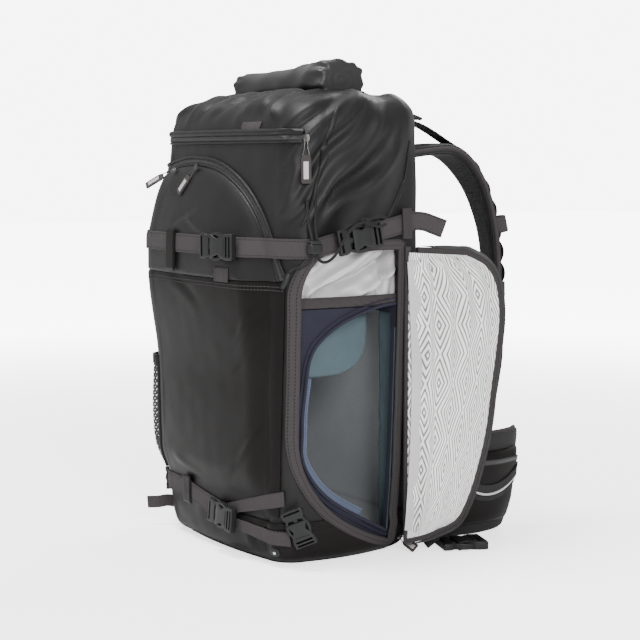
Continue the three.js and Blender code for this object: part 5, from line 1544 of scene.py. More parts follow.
# A sewn line beside the mouth
outside_mouth = offset_line(mouth, -5.5)
hem = inner_wall(outside_mouth[:, 0], outside_mouth[:, 1], INSERT_CLEAR - 0.45)
sweep("mouth_seam", smooth_path(hem[::2], 120), np.cross(directions(hem[::2]).mean(0), (1, 0, 0)),
      round_loop(0.7, 8), navy, "insert")


def soft_block(name, outline, low, high, finish, slot, node, bulge=1.6, rounding=2.6):
    """A padded panel drawn in (y, z): edges rounded over, faces crowned."""
    mesh = bpy.data.meshes.new(name)
    bm = bmesh.new()
    verts = [bm.verts.new((low * MM, y * MM, z * MM)) for y, z in outline]
    face = bm.faces.new(verts)
    made = bmesh.ops.extrude_face_region(bm, geom=[face])
    moved = [v for v in made["geom"] if isinstance(v, bmesh.types.BMVert)]
    bmesh.ops.translate(bm, verts=moved, vec=((high - low) * MM, 0, 0))
    bmesh.ops.recalc_face_normals(bm, faces=bm.faces)
    rims = [e for e in bm.edges if abs(e.verts[0].co.x - e.verts[1].co.x) < 1e-6]
    bmesh.ops.bevel(bm, geom=rims, offset=rounding * MM, segments=3, profile=0.5, affect="EDGES")
    bmesh.ops.triangulate(bm, faces=[f for f in bm.faces if len(f.verts) > 4])
    bm.to_mesh(mesh)
    bm.free()
    panel = in_scene(name, mesh)
    apply_modifier(panel, "REMESH", mode="VOXEL", voxel_size=1.8 * MM)
    points = np.empty(len(panel.data.vertices) * 3)
    panel.data.vertices.foreach_get("co", points)
    points = points.reshape(-1, 3) / MM
    middle = (np.max(points, 0) + np.min(points, 0)) / 2
    half = (np.max(points, 0) - np.min(points, 0)) / 2
    share = (points - middle) / np.maximum(half, 1e-6)
    thin = int(np.argmin(half))
    others = [k for k in range(3) if k != thin]
    crowns = [np.clip(1 - np.abs(share[:, k]) ** 3, 0, 1) for k in others]
    crown = crowns[0] * crowns[1]
    lumps = waver(points[:, others[0]], points[:, others[1]], 42, 31) * 0.5
    on_face = np.abs(share[:, thin]) > 0.6
    points[:, thin] += np.sign(share[:, thin]) * (bulge * crown + lumps * crown) * on_face
    panel.data.vertices.foreach_set("co", (points * MM).ravel())
    panel.data.shade_smooth()
    panel = dress(panel, finish, slot, node)
    return panel


top = INSERT_TOP
upper_outline = np.concatenate([
    [(-61, top - 10.5)], [(-61, top - 50)],
    bezier([(-61, top - 50), (-58, top - 74), (-30, top - 73)], 12)[1:],
    bezier([(-6, top - 72), (26, top - 66), (30, top - 38)], 12),
    [(30.5, top - 10.5)],
])
soft_block("upper_divider_pad", upper_outline, 96.4, 104.6, felt, "divider", "divider_upper", bulge=1.2)


def cad_mesh(name):
    """A copy of a CAD node's mesh as one welded body, to work a detailed piece from."""
    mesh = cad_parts[name].data.copy()
    face_outside(mesh, 2e-5)
    mesh.materials.clear()
    return mesh


def softened(name, node, finish, slot, voxel=1.6, swell=0.6, rounds=3):
    """A padded piece worked from a plain solid: remeshed, eased at its edges and swollen a little."""
    piece = in_scene(name, cad_mesh(node))
    apply_modifier(piece, "REMESH", mode="VOXEL", voxel_size=voxel * MM)
    apply_modifier(piece, "SMOOTH", factor=0.5, iterations=rounds)
    mesh = piece.data
    count = len(mesh.vertices)
    points, normals = np.empty(count * 3), np.empty(count * 3)
    mesh.vertices.foreach_get("co", points)
    mesh.vertices.foreach_get("normal", normals)
    points, normals = points.reshape(-1, 3), normals.reshape(-1, 3)
    around = points / MM
    lumps = waver(around[:, 0] + around[:, 2] * 0.6, around[:, 1] + around[:, 2] * 0.4, 38, 33)
    points += normals * ((swell + 0.4 * lumps) * MM)[:, None]
    mesh.vertices.foreach_set("co", points.ravel())
    mesh.shade_smooth()
    piece = dress(piece, finish, slot, node)
    return piece


softened("back_divider_pad", "divider_back", felt, "divider")
softened("lower_divider_pad", "divider_lower", felt, "divider")

# Pale lining hung behind the top of the opening, drawn down to a gathered hem
HEM_LOW, HEM_HIGH, HEM_MIDDLE = 262.8, 273.5, 268.2
yy, zz = np.meshgrid(np.linspace(-78, 51, 110), np.linspace(HEM_HIGH - 1.5, 349, 70), indexing="ij")
drop = 1 - smooth(zz, HEM_HIGH, 340)
pleats = 1.8 * np.sin(yy / 3.6 + 1.6 * waver(yy, zz, 50, 41)) * drop ** 3
HUNG_FOLDS = [
    (-64, 276, 34, 330, 4.5, 2.2), (-40, 274, 52, 318, 4, -1.8), (-74, 292, -6, 330, 4.5, 1.8),
    (0, 274, 50, 300, 4, 2.2), (-56, 274, 0, 296, 3.5, -1.6), (26, 276, 46, 330, 4, -2.4),
]
drape = drawn_folds(yy, zz, HUNG_FOLDS, 0.1)
depth = 11.5 - 1.2 * drop + pleats - drape * 5.2
depth = 2.8 + np.log1p(np.exp((depth - 2.8) * 1.4)) / 1.4
outer = inner_wall(yy, zz, depth)
inner = inner_wall(yy, zz, depth + 1.1)
hung = thick_sheet("hung_lining", outer, inner, lining, "lining", "lining_panel",
                   np.stack([yy, zz], -1) * MM)
yy, zz = np.meshgrid(np.linspace(-78, 51, 200), np.linspace(HEM_LOW, HEM_HIGH, 9), indexing="ij")
gather = 1.0 * np.sin(yy / 1.9 + 2.2 * waver(yy, zz, 40, 42)) + 0.6 * waver(yy, zz, 12, 43)
swell = 1.6 * np.sqrt(np.clip(1 - ((zz - HEM_MIDDLE) / 5.4) ** 2, 0, 1))
outer = inner_wall(yy, zz, 3.6 - swell + 0.5 + gather * 0.35 + 0.6)
inner = inner_wall(yy, zz, np.full_like(yy, 6.4))
thick_sheet("gathered_hem", outer, inner, plain_web, "webbing", "lining_hem",
            np.stack([yy, zz - HEM_MIDDLE], -1) * MM)


# The harness

BACK_FACE = BACK_REACH + GAP + 15
LEFT_REACH = 0.76
STRAP_PATH = np.array([
    [58, BACK_FACE + 2, BODY_HEIGHT - 59], [58, BACK_FACE + 14, BODY_HEIGHT - 57],
    [66, BACK_FACE + 61, BODY_HEIGHT - 56], [71, BACK_FACE + 94, BODY_HEIGHT - 86],
    [77, BACK_FACE + 112, BODY_HEIGHT - 134], [81, BACK_FACE + 117, BODY_HEIGHT - 184],
    [84, BACK_FACE + 115, BODY_HEIGHT - 234],
])
WEBBING_PATH = np.array([
    [84.5, BACK_FACE + 115, BODY_HEIGHT - 235.5], [88, BACK_FACE + 124, BODY_HEIGHT - 262],
    [92, BACK_FACE + 118, BODY_HEIGHT - 302], [92, BACK_FACE + 96, 112],
    [70, BACK_FACE + 50, 68], [42, BACK_FACE + 5, 56],
])
SIDES = {"right": 1, "left": -1}
STRAP_LEAN, LIFTER_STATIONS = -0.45, 14


def harness_points(rows, side):
    reach = 1 if side == 1 else LEFT_REACH
    return np.stack([rows[:, 0] * side, BACK_FACE + (rows[:, 1] - BACK_FACE) * reach, rows[:, 2]], -1)


def face_outwards(out, towards):
    sign = np.sign(np.sum(out * np.asarray(towards, float), -1, keepdims=True))
    return out * np.where(sign == 0, 1, sign)


FOLDED_TAPE = [(-2.6, 0), (-2.3, 1.5), (-0.6, 2.3), (1.6, 2.1), (2.7, 1.1),
               (3.0, 0), (2.7, -1.1), (1.6, -2.1), (-0.6, -2.3), (-2.3, -1.5)]


def edge_binding(name, path, width_way, half):
    """Binding tape folded over both long edges of a pad."""
    for end, word in ((1, "outer"), (-1, "inner")):
        line = path + width_way * (end * (np.asarray(half) - 1.2))[:, None]
        sweep(f"{name}_{word}", line, width_way * end, FOLDED_TAPE, binding, "webbing")


for word, side in SIDES.items():
    path = smooth_path(harness_points(STRAP_PATH, side), 90)
    t = np.linspace(0, 1, len(path))
    share = 1 - 0.22 * smooth(t, 0.75, 1) - 0.1 * (1 - smooth(t, 0, 0.2))
    across = np.stack([np.full(len(t), side), STRAP_LEAN * smooth(t, 0, 0.8), 0 * t], -1)
    piece = sweep(f"shoulder_pad_{word}", path, across, pad_loop(57, 11.5, power=3.4, edge=3), pad, "padding",
                  f"shoulder_strap_{word}", share=share)
    _, width_way, out = band_frames(path, across)
    edge_binding(f"shoulder_binding_{word}", path, width_way, 29 * share)
    outer = face_outwards(out, np.array([0, 1, 0.6]))
    inner = slice(4, -4)
    sweep(f"shoulder_lining_{word}", (path - outer * 5.5)[inner], across[inner], flat_loop(45, 1.6),
          spacer, "padding", share=share[inner])
    run = slice(30, 88)
    wavy = np.abs(np.sin(np.linspace(0, 7 * math.pi, len(path[run])))) ** 0.6
    ladder = (path + outer * 6.6)[run] + outer[run] * (0.3 + 5.5 * wavy)[:, None]
    sweep(f"daisy_chain_{word}", ladder, across[run], flat_loop(19, 1.4), black_web, "webbing")

    # Elastic loop sewn on the pad, standing off it
    at = int(np.argmin(np.abs(path[:, 2] - (BODY_HEIGHT - 141))))
    turn = np.linspace(-math.pi / 2, 1.5 * math.pi, 64, endpoint=False)
    wide = 15 * np.sign(np.cos(turn)) * np.abs(np.cos(turn)) ** 0.7
    deep = 8 + np.where(np.sin(turn) > 0, 13 * np.sin(turn), 1.6 * np.sin(turn))
    band = path[at] + width_way[at] * wide[:, None] + outer[at] * deep[:, None]
    sweep(f"strap_band_{word}", band, directions(path)[at], flat_loop(18, 1.5), strap_web, "webbing",
          wrap=True)

    low = harness_points(WEBBING_PATH, side)
    low[-1, 1] = BACK_FACE + 6.2 - 0.4 * side
    sweep(f"adjusting_webbing_{word}", smooth_path(low, 90), (side, STRAP_LEAN, 0),
          flat_loop(WEB_WIDTH - 1, WEBBING), black_web, "webbing", f"strap_webbing_{word}")

    # Load lifter over the shoulder
    stations = smooth_path(harness_points(STRAP_PATH, side), LIFTER_STATIONS - 1)
    k = np.linspace(0, 1, LIFTER_STATIONS)
    station_across = np.stack([np.full(LIFTER_STATIONS, side), STRAP_LEAN * smooth(k, 0, 0.8), 0 * k], -1)
    _, _, station_out = band_frames(stations, station_across)
    station_out = face_outwards(station_out, (0, 1, 1))
    on_pad = stations[3:6] + station_out[3:6] * (6 + WEBBING / 2 + 4.6 * GAP)
    hook = np.array([side * 62, BACK_FACE - 8, BODY_HEIGHT - 19])
    lifter = np.vstack([hook, mix(hook, on_pad[0], 0.5) + [0, 0, 4], on_pad])
    sweep(f"lifter_webbing_{word}", smooth_path(lifter, 50), (side, 0, 0),
          flat_loop(WEB_WIDTH - 1, WEBBING), black_web, "webbing", f"load_lifter_{word}")

# Hip belt wings
WING_PATH = np.array([[70, 7], [96, 9], [111, 24], [116, 50], [118, 82], [109, 114], [88, 136]])
WING_LEAN, BELT_HEIGHT, BELT_PAD = 0.16, 118, 12
WING_STEPS, POUCH_COLUMNS, POUCH_HALF = 90, 34, 41
for word, side in SIDES.items():
    reach = 1 if side == 1 else 0.86
    rows = np.array([[side * x, BACK_FACE + 7 + (y - 7) * reach + GAP, BELT_HEIGHT / 2 + 1]
                     for x, y in WING_PATH])
    path = smooth_path(rows, WING_STEPS)
    t = np.linspace(0, 1, len(path))
    share = 1 - 0.5 * smooth(t, 0.85, 1.1) - 0.12 * (1 - smooth(t, 0, 0.2))
    lean = (side * WING_LEAN, 0.04, 1)
    piece = sweep(f"hip_pad_{word}", path, lean, pad_loop(113, 12, power=4, edge=3.4), pad, "padding",
                  f"hip_wing_{word}", share=share)
    _, width_way, out = band_frames(path, lean)
    edge_binding(f"hip_binding_{word}", path, width_way, 57 * share)
    outer = out * np.sign(out[45, 0] * side)
    inner = slice(3, -6)
    sweep(f"hip_lining_{word}", (path - outer * 6.0)[inner], lean, flat_loop(98, 1.6, 15), spacer,
          "padding", share=share[inner])

    # Zipped pouch on the outside of the wing: stations 4 to 10 of the solid's 12
    low, high = (int(WING_STEPS * station / 12) for station in (4, 10))
    pouch_t = np.linspace(0, 1, high - low)
    rise = np.minimum(smooth(pouch_t, -0.02, 0.12), 1 - smooth(pouch_t, 0.88, 1.02))
    base_line = (path + outer * (BELT_PAD / 2 + 0.6) - width_way * 3)[low:high]
    rings = []
    for i in range(high - low):
        a = np.linspace(-1, 1, POUCH_COLUMNS)
        crown = (1 - np.abs(a) ** 5) ** 0.45
        puff = 8.4 * crown + 0.8 * waver(a * 40, np.full(POUCH_COLUMNS, i * 1.6), 38, 51)
        belly = 1.2 + puff * (0.25 + 0.75 * rise[i])
        across = np.outer(a * POUCH_HALF, width_way[low + i])
        rings.append(base_line[i] + across + np.outer(belly, outer[low + i]))
    rings = np.array(rings)
    across = np.linspace(-POUCH_HALF, POUCH_HALF, POUCH_COLUMNS)[None, :, None] * width_way[low:high][:, None]
    flat_back = base_line[:, None] + across + 0.4 * outer[low:high][:, None]
    thick_sheet(f"hip_pouch_{word}", rings, flat_back, coated, "coated", f"hip_pocket_{word}")
    zip_line = rings[4:-4, 29] + outer[low:high][4:-4] * 0.5
    sweep(f"hip_zip_{word}", zip_line, width_way[low:high][4:-4], flat_loop(6, 1.5), coil, "mesh")

    def on_pouch(share_up, lift):
        j = (share_up + 1) / 2 * (POUCH_COLUMNS - 1)
        j0 = np.clip(np.floor(j).astype(int), 0, POUCH_COLUMNS - 2)
        f = (j - j0)[:, None]
        rows_i = np.arange(high - low)
        line = rings[rows_i, j0] * (1 - f) + rings[rows_i, j0 + 1] * f + outer[low:high] * lift
        return line[2:-2]

    smile = -0.12 + 0.62 * (2 * pouch_t - 1) ** 2
    # Piping, the flap's edge and a dark strip of spacer cloth beside the piping; the dark strip stands in for
    # the shade in the pouch's opening: painted shade.
    for part, share_up, lift, section, finish, slot in (
            ("piping", smile, 1.0, round_loop(1.3, 8), lining, "lining"),
            ("flap_edge", smile + 0.15, 0.9, flat_loop(9, 1.6), black_web, "webbing"),
            ("painted_shade_strip", smile - 0.11, 0.35, flat_loop(6, 0.6), spacer, "padding")):
        sweep(f"hip_{part}_{word}", on_pouch(share_up, lift), width_way[low:high][2:-2], section, finish,
              slot)

clip_end = np.array([134, BACK_FACE - 2, 6.0])
web_tail = smooth_path([
    (116, BACK_FACE + 16, 40), (120, BACK_FACE + 6, 24), (127, BACK_FACE - 3, 12), clip_end,
], 40)
sweep("hip_web_tail", web_tail, (0.8, 0.6, 0), flat_loop(17.5, WEBBING), black_web, "webbing",
      "hip_webbing_right")

haul = smooth_path([
    (-44, BACK_REACH + 1.4, BODY_HEIGHT - 34), (-30, BACK_REACH + 9, BODY_HEIGHT - 21),
    (0, BACK_REACH + 17, BODY_HEIGHT - 12),
    (30, BACK_REACH + 9, BODY_HEIGHT - 21), (44, BACK_REACH + 1.4, BODY_HEIGHT - 34),
], 60)


def haul_section(t):
    """The haul loop narrows towards its middle."""
    return flat_loop(WEB_WIDTH - 1 - 5 * (1 - abs(2 * t - 1)) ** 0.5, 3)


sweep("haul_handle", haul, (0, 0.2, 1), haul_section, black_web, "webbing", "haul_loop")

# Back panel: two padded columns with an airway between them, quilted across
PAD_HALF, PAD_LOW, PAD_HIGH, BACK_PAD = 96, 46.8, 428, 15
xx, zz = np.meshgrid(np.linspace(-PAD_HALF + 1, PAD_HALF - 1, 120),
                     np.linspace(PAD_LOW, PAD_HIGH, 200), indexing="ij")
place = 4.5 - xx / 2 / 106
edge = smooth(PAD_HALF - np.abs(xx), 0, 9) * smooth(zz - PAD_LOW, 0, 9) * smooth(PAD_HIGH - zz, 0, 9)
column = smooth(np.abs(xx), 7, 17)
quilt = 1 - 0.5 * np.exp(-((((zz - 70) % 62) - 31) / 4.5) ** 2) * smooth(np.abs(xx), 12, 22)
thick = 3 + (BACK_PAD - 3) * edge * (0.35 + 0.65 * column) * quilt
outer = layers["bare"].at(place, zz, GAP + thick)
inner = layers["bare"].at(place, zz, GAP)
panel = thick_sheet("back_cushion", outer, inner, spacer, "padding", "back_pad", np.stack([xx, zz], -1) * MM)


# Net pocket, keepers and tabs

def side_patch(name, low_place, high_place, low, high, layer, thick_in, thick_out, finish, slot, node,
               fine=(70, 50), ripple=0.0, belly=0.0):
    p, z = np.meshgrid(np.linspace(low_place, high_place, fine[0]),
                       np.linspace(low, high, fine[1]), indexing="ij")
    wave = ripple * np.sin(p * 90) * smooth(z, low, high)
    corner = np.clip((p - 6.7) / (high_place - 6.7), 0, 1)
    up = np.clip((z - MESH_BOTTOM) / 170, 0, 1)
    wave = wave + belly * np.sin(math.pi * corner) ** 0.8 * np.sin(math.pi * up)
    outer = layers[layer].at(p, z, thick_out + wave)
    inner = layers[layer].at(p, z, thick_in + wave)
    return thick_sheet(name, outer, inner, finish, slot, node, np.stack([round_length(p), z], -1) * MM)


def left_place_of_y(y, z=150):
    places = np.linspace(5, 8, 301)
    ys = layers["bare"].at(places, np.full(301, float(z)))[:, 1]
    return float(np.interp(-y, -ys, places))


mesh_from, mesh_to = left_place_of_y(66), 7.7
side_patch("side_net", mesh_from, mesh_to, 68, 183.6, "mesh", 0.6, 1.7, net, "mesh", "mesh_pocket",
           (140, 50), belly=7)
side_patch("net_elastic", mesh_from, mesh_to, 184, 194, "mesh", 0.5, 3.2, black_web, "webbing",
           "pocket_elastic", (140, 7), ripple=0.35, belly=6)


def front_patch(name, x_from, x_to, low, high, lift, thickness, layer, finish, slot, node, fine=(14, 24)):
    """A sewn patch on the front, its edges turned down."""
    x, z = np.meshgrid(np.linspace(x_from, x_to, fine[0]), np.linspace(low, high, fine[1]), indexing="ij")
    edge = np.minimum(np.minimum(x - x_from, x_to - x), np.minimum(z - low, high - z))
    outer = layers[layer].hit(0, x, z, lift + thickness * (0.35 + 0.65 * smooth(edge, -0.2, 1.2)))
    inner = layers[layer].hit(0, x, z, np.full(x.shape, float(lift)))
    return thick_sheet(name, outer, inner, finish, slot, node,
                       np.stack([z, x - (x_from + x_to) / 2], -1) * MM)


STRAP_LIFT = GAP + WEBBING
KEEPER_X = -56
front_patch("front_keeper", KEEPER_X - 10, KEEPER_X + 10, 293, 337, STRAP_LIFT + GAP, 2, "straps", coated,
            "coated", "strap_keeper_front")
net_rim = np.linspace(70, 192, 40)
net_before, net_after = (layers["mesh"].at(np.full(40, mesh_to + step), net_rim) for step in (-0.1, 0.1))
sweep("net_edge", layers["mesh"].at(np.full(40, mesh_to - 0.01), net_rim, 1.2), net_after - net_before,
      flat_loop(6, 2.4), black_web, "webbing")
front_patch("tab_on_pocket", 34, 60, 287, 302, GAP, 1.6, "pockets", strap_web, "webbing", "pocket_tab")
front_patch("tab_on_brow", 40, 72, 439, 448, GAP, 1.6, "bare", strap_web, "webbing", "brow_tab")
front_patch("lower_keeper", -62, -44, 40, 70, STRAP_LIFT + GAP, 1.6, "straps", coated, "coated", ())

back_line = float(upper_line(60))
keeper_from, keeper_to = (float(place_of_y(y, 345, "straps")) for y in (48, 59))
p, z = np.meshgrid(np.linspace(keeper_from, keeper_to, 10),
                   np.linspace(back_line - 17, back_line + 14, 24), indexing="ij")
outer, inner = (layers["straps"].at(p, z, STRAP_LIFT + GAP + t) for t in (2.4, 0.1))
thick_sheet("side_keeper", outer, inner, plain_web, "webbing", "strap_keeper_side",
            np.stack([z, p * 114], -1) * MM)

end_box = np.array(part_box("upper_strap_end")) / MM
flag_z = back_line + 1
flag_x = end_box[0][0] + WEBBING / 2
tail_line = smooth_path([
    (flag_x, 60.8, flag_z), (flag_x + 2, 76, flag_z - 1),
    (flag_x + 4, 88, flag_z - 5), (flag_x + 8.5, 97.5, flag_z - 9),
], 30)
sweep("strap_tail", tail_line, (0, 0.12, 1), flat_loop(WEB_WIDTH - 0.6, WEBBING), strap_web, "webbing",
      "upper_strap_end")


# Cords

CORD = 3
SHORT_CORD = [
    (137, -66, 371), (137.3, -66, 365.5), (137.9, -66.2, 360), (139, -66.4, 354.5),
    (140.6, -66.7, 349), (142.6, -67, 344), (144.9, -67.2, 339.5), (147.1, -67.2, 335),
    (148, -67.2, 330.5), (148, -67.2, 325), (148, -67.2, 319.5), (147.4, -67.8, 314.5),
    (145.4, -70, 310), (142, -73.5, 306.8), (138.2, -77.5, 304.9), (134.8, -81.3, 303.2),
    (132.6, -84.2, 300),
]
LONG_CORD = [
    (140, -58, 371), (140.2, -58.3, 365), (140.7, -58.8, 359), (141.6, -59.5, 353),
    (143, -60.5, 347), (145, -61.4, 341), (147.1, -61.8, 335.5), (148, -61.8, 330),
    (148, -61.8, 324), (148, -61.8, 318.5), (148.6, -60.2, 313.5), (150, -56.5, 310.5),
    (152, -51.8, 311), (154.2, -47.4, 314.5), (156.4, -43.4, 320), (158, -39.6, 327),
    (158.8, -35.6, 334), (158.8, -30.6, 340), (158.6, -24.8, 344.5), (158.2, -18.4, 347.5),
    (157.8, -11.6, 349),
]


def free_cord(name, points, node):
    line = smooth_path(points, 160)
    piece = sweep(name, line, (1, 0.15, 0.1), round_loop(CORD / 2, 12), sheath, "mesh", node)
    length = float(lengths_along(line)[-1])


# Buckles, locks and pulls

def bar(size, at, bevel=0.7, segments=2, shape=None):
    """A moulded bar, beveled all round; shape(x, y, z) moves its points, in mm."""
    bpy.ops.object.select_all(action="DESELECT")
    bpy.ops.mesh.primitive_cube_add(size=1, location=[v * MM for v in at])
    made = bpy.context.object
    made.scale = [v * MM for v in size]
    bpy.ops.object.transform_apply(location=True, rotation=True, scale=True)
    bpy.ops.object.mode_set(mode="EDIT")
    bpy.ops.mesh.select_all(action="SELECT")
    if shape:
        bpy.ops.mesh.subdivide(number_cuts=5)
    bpy.ops.object.mode_set(mode="OBJECT")
    if shape:
        for vert in made.data.vertices:
            vert.co = Vector(shape(*(vert.co / MM))) * MM
    apply_modifier(made, "BEVEL", width=bevel * MM, segments=segments, limit_method="ANGLE",
                   angle_limit=math.radians(50))
    return made


def joined(parts):
    bpy.ops.object.select_all(action="DESELECT")
    for part in parts:
        part.select_set(True)
    bpy.context.view_layer.objects.active = parts[0]
    bpy.ops.object.join()
    return parts[0]


def release_buckle():
    """A side release buckle, 52 by 29 by 7 mm: waisted socket, prong half, bowed arms and webbing bars."""
    w, t = 14.5, 7

    def waisted(x, y, z):
        pinch = math.exp(-((x - 1.5) / 6.5) ** 2)
        return x, y * (1 - 0.42 * pinch), z * (1 + 0.1 * pinch)

    def narrowed(x, y, z):
        return x, y * (1 - 0.16 * smooth(x, -19, -12)), z

    def bowed(side):
        def shape(x, y, z):
            share = max(min((x + 13.5) / 25, 1), 0)
            return x, y + side * 3.4 * math.sin(math.pi * share) ** 1.3, z
        return shape

    socket = bar((34, 2 * 0.93 * w, t), (8, 0, 0), 1.1, 3, waisted)
    cut(socket, block("slot", (20.6, -10.4, -20), (23.0, 10.4, 20)))
    cut(socket, block("second_slot", (15.6, -10.4, -20), (18.2, 10.4, 20)))
    cut(socket, block("throat", (-14, -7.0, -2.1), (0, 7.0, 2.1)))
    foot = bar((13.5, 2 * 0.9 * w, 5.6), (-19, 0, 0), 1.2, 3, narrowed)
    cut(foot, block("slot", (-23.6, -10.2, -20), (-21.0, 10.2, 20)))
    arms = [bar((25, 3.2, 5.0), (-1, side * 9.6, 0), 0.8, 2, bowed(side)) for side in (-1, 1)]
    tongue = bar((14, 5.4, 3.2), (-9, 0, 0), 0.7)
    ridge = bar((1.6, 17, 1.1), (11.6, 0, t / 2 + 0.05), 0.4, 1)
    return joined([socket, foot, *arms, tongue, ridge])


def ladder_lock():
    """A ladder lock, 34 by 26 by 5 mm: two rails, three bars and a lifting lip."""

    def arched(x, y, z):
        return x, y, z + math.cos(x / 34 * math.pi)

    def lipped(x, y, z):
        return x, y * (1 - 0.012 * (x - 12)), z + 0.08 * (x - 12)

    rails = [bar((30, 3.4, 4.6), (0, side * 11.2, 0), 1.0, 2, arched) for side in (-1, 1)]
    bars = [bar((3.4, 21, 3.6), (x, 0, z), 0.9, 2) for x, z in ((-12.5, 0.2), (1.5, 1.0), (9.5, 0.4))]
    lip = bar((5, 24, 3.0), (14.6, 0, 0.8), 1.2, 3, lipped)
    teeth = [bar((0.9, 18, 0.8), (x, 0, 2.7), 0.25, 1) for x in (0.6, 2.2)]
    return joined([*rails, *bars, lip, *teeth])


def node_frame(node, ahead, outwards):
    """Where a flat piece lies: its middle, its directions and its size, from its solid."""
    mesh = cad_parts[node].data
    points = np.array([v.co[:] for v in mesh.vertices]) / MM
    points = np.unique(points.round(3), axis=0)
    _, axes = np.linalg.eigh(np.cov((points - points.mean(0)).T))
    along, thin = axes[:, 2], axes[:, 0]
    along = along * np.sign(np.dot(along, ahead))
    thin = thin * np.sign(np.dot(thin, outwards))
    side = np.cross(thin, along)
    basis = np.stack([along, side, thin], -1)
    local = points @ basis
    middle = basis @ ((local.min(0) + local.max(0)) / 2)
    return basis, middle, local.max(0) - local.min(0)


def put_copy(master, name, node, ahead, outwards, size, finish, slot, lean=0, fill=1):
    """A copy of a modelled piece in the place and at the size of a solid, leaning by some degrees."""
    basis, middle, extent = node_frame(node, ahead, outwards)
    scale = extent / np.array(size, float) * fill
    lean = math.radians(lean)
    along, side = basis[:, 0].copy(), basis[:, 1].copy()
    basis[:, 0] = along * math.cos(lean) + side * math.sin(lean)
    basis[:, 1] = side * math.cos(lean) - along * math.sin(lean)
    mesh = master.data.copy()
    points = np.array([v.co[:] for v in mesh.vertices]) * scale
    points = points @ basis.T + middle * MM
    mesh.vertices.foreach_set("co", points.ravel())
    smooth_shade(mesh)
    return dress(in_scene(name, mesh), finish, slot, node)


buckle = release_buckle()
BUCKLE_SIZE = (52, 29, 7)
for name, node, ahead, outwards in (
        ("front_buckle", "upper_buckle_front", (1, 0, 0), (0, -1, 0)),
        ("side_buckle", "upper_buckle_side", (0, 1, 0), (1, 0, 0)),
        ("low_front_buckle", "lower_buckle_front", (1, 0, -0.2), (0, -1, 0)),
        ("low_corner_buckle", "lower_buckle_corner", (0, 0, -1), (1, -1, 0)),
        ("hip_clip", "hip_buckle_right", (0.35, 0.94, 0), (0, 0, 1)),
        ("left_corner_buckle", "left_buckle", (0, 0, -1), (-1, -0.5, 0))):
    lean, fill = (19, 0.9) if name == "low_corner_buckle" else (0, 1)
    put_copy(buckle, name, node, ahead, outwards, BUCKLE_SIZE, plastic, "plastic", lean, fill)
bpy.data.objects.remove(buckle)

ladder = ladder_lock()
LADDER_SIZE = (34, 26, 6)
for word, side in SIDES.items():
    put_copy(ladder, f"strap_ladder_{word}", f"strap_adjuster_{word}", (0, 0, -1), (0, 1, 0), LADDER_SIZE,
             plastic, "plastic")
    put_copy(ladder, f"lifter_ladder_{word}", f"lifter_buckle_{word}", (0, 1, 0.3), (0, -0.3, 1),
             LADDER_SIZE, plastic, "plastic")
bpy.data.objects.remove(ladder)


def wire_loop(points, radius, count=40):
    """A closed wire in the xy plane, as mesh points and faces."""
    ring = smooth_path(np.vstack([points, points[:1]]), count)[:-1]
    along = np.roll(ring, -1, 0) - np.roll(ring, 1, 0)
    along /= np.linalg.norm(along, axis=-1, keepdims=True)
    side = np.cross(along, (0, 0, 1))
    loop = round_loop(radius, 8)
    rings = ring[:, None] + loop[None, :, :1] * side[:, None] + loop[None, :, 1:] * np.array([0, 0, 1])
    return rings.reshape(-1, 3), grid_faces(len(ring), 8, 0, wrap_i=True, wrap_j=True)


def zip_pull(name, node, ahead, outwards, hang=None):
    """A slider, its wire link and a cloth tab with turned edges; hang swings it round its slider."""
    basis, middle, extent = node_frame(node, ahead, outwards)
    length = extent[0]
    if hang is not None:
        root = middle - basis[:, 0] * length / 2
        along = np.array(hang, float) / np.linalg.norm(hang)
        side = np.cross(basis[:, 2], along)
        side /= np.linalg.norm(side)
        basis = np.stack([along, side, np.cross(along, side)], -1)
        middle = root + along * length / 2
    start, link = -length / 2, 0.4 * length

    def to_place(p):
        return np.asarray(p) @ basis.T + middle

    wire = np.array([(start + 0.3, -1.1, 0), (start + 0.3, 1.1, 0), (start + 0.55 * link, 1.7, 0),
                     (start + link, 2.9, 0), (start + link + 1, 0, 0), (start + link, -2.9, 0),
                     (start + 0.55 * link, -1.7, 0)])
    points, faces = wire_loop(wire, 0.55)
    make_piece(f"{name}_link", to_place(points), faces, metal, "metal", node)
    tab = np.linspace(0, 1, 14)
    line = np.stack([mix(start + link - 0.8, length / 2, tab), 0 * tab, 0.25 * np.sin(tab * 3)], -1)
    wide = 10.4 * np.where(tab < 0.16, 0.7 + tab * 1.8, 1) * np.where(tab > 0.93, 0.82, 1)
    sweep(f"{name}_tab", to_place(line), basis[:, 1], flat_loop(1, 1.9), tab_edge, "webbing", share=wide)
    face = slice(3, 12)
    for sign, word in ((1, "front"), (-1, "back")):
        sweep(f"{name}_face_{word}", to_place(line[face] + [0, 0, sign * 1.0]), basis[:, 1],
              flat_loop(5.0, 0.5), tab_face, "metal")
    body = np.linspace(-1, 1, 9)
    hull = np.stack([start + 0.8 + body * 3.6, 0 * body, 0 * body - 1.1], -1)
    sweep(f"{name}_body", to_place(hull), basis[:, 1], pad_loop(7.4, 3.2, 5, 3), metal, "metal",
          share=1 - 0.35 * body ** 2)


tab_edge = plain("tab_edge", (0.022, 0.017, 0.0165), 0.85)
tab_face = plain("tab_face", (0.34, 0.32, 0.32), 0.45, 0.5, 0.15)
zip_pull("brow_slider", "brow_pull", (0, 0, -1), (1, -1, 0))
zip_pull("arch_slider", "arch_pull", (-0.6, 0, -0.7), (0, -1, 0.2))
zip_pull("loose_slider", "arch_pull_loose", (-0.6, -0.6, -0.5), (0.2, -0.7, 0.6))
zip_pull("door_slider", "door_pull", (0.12, 0.75, -0.45), (0.9, -0.1, 0.1), hang=(0.62, 0.42, -0.5))


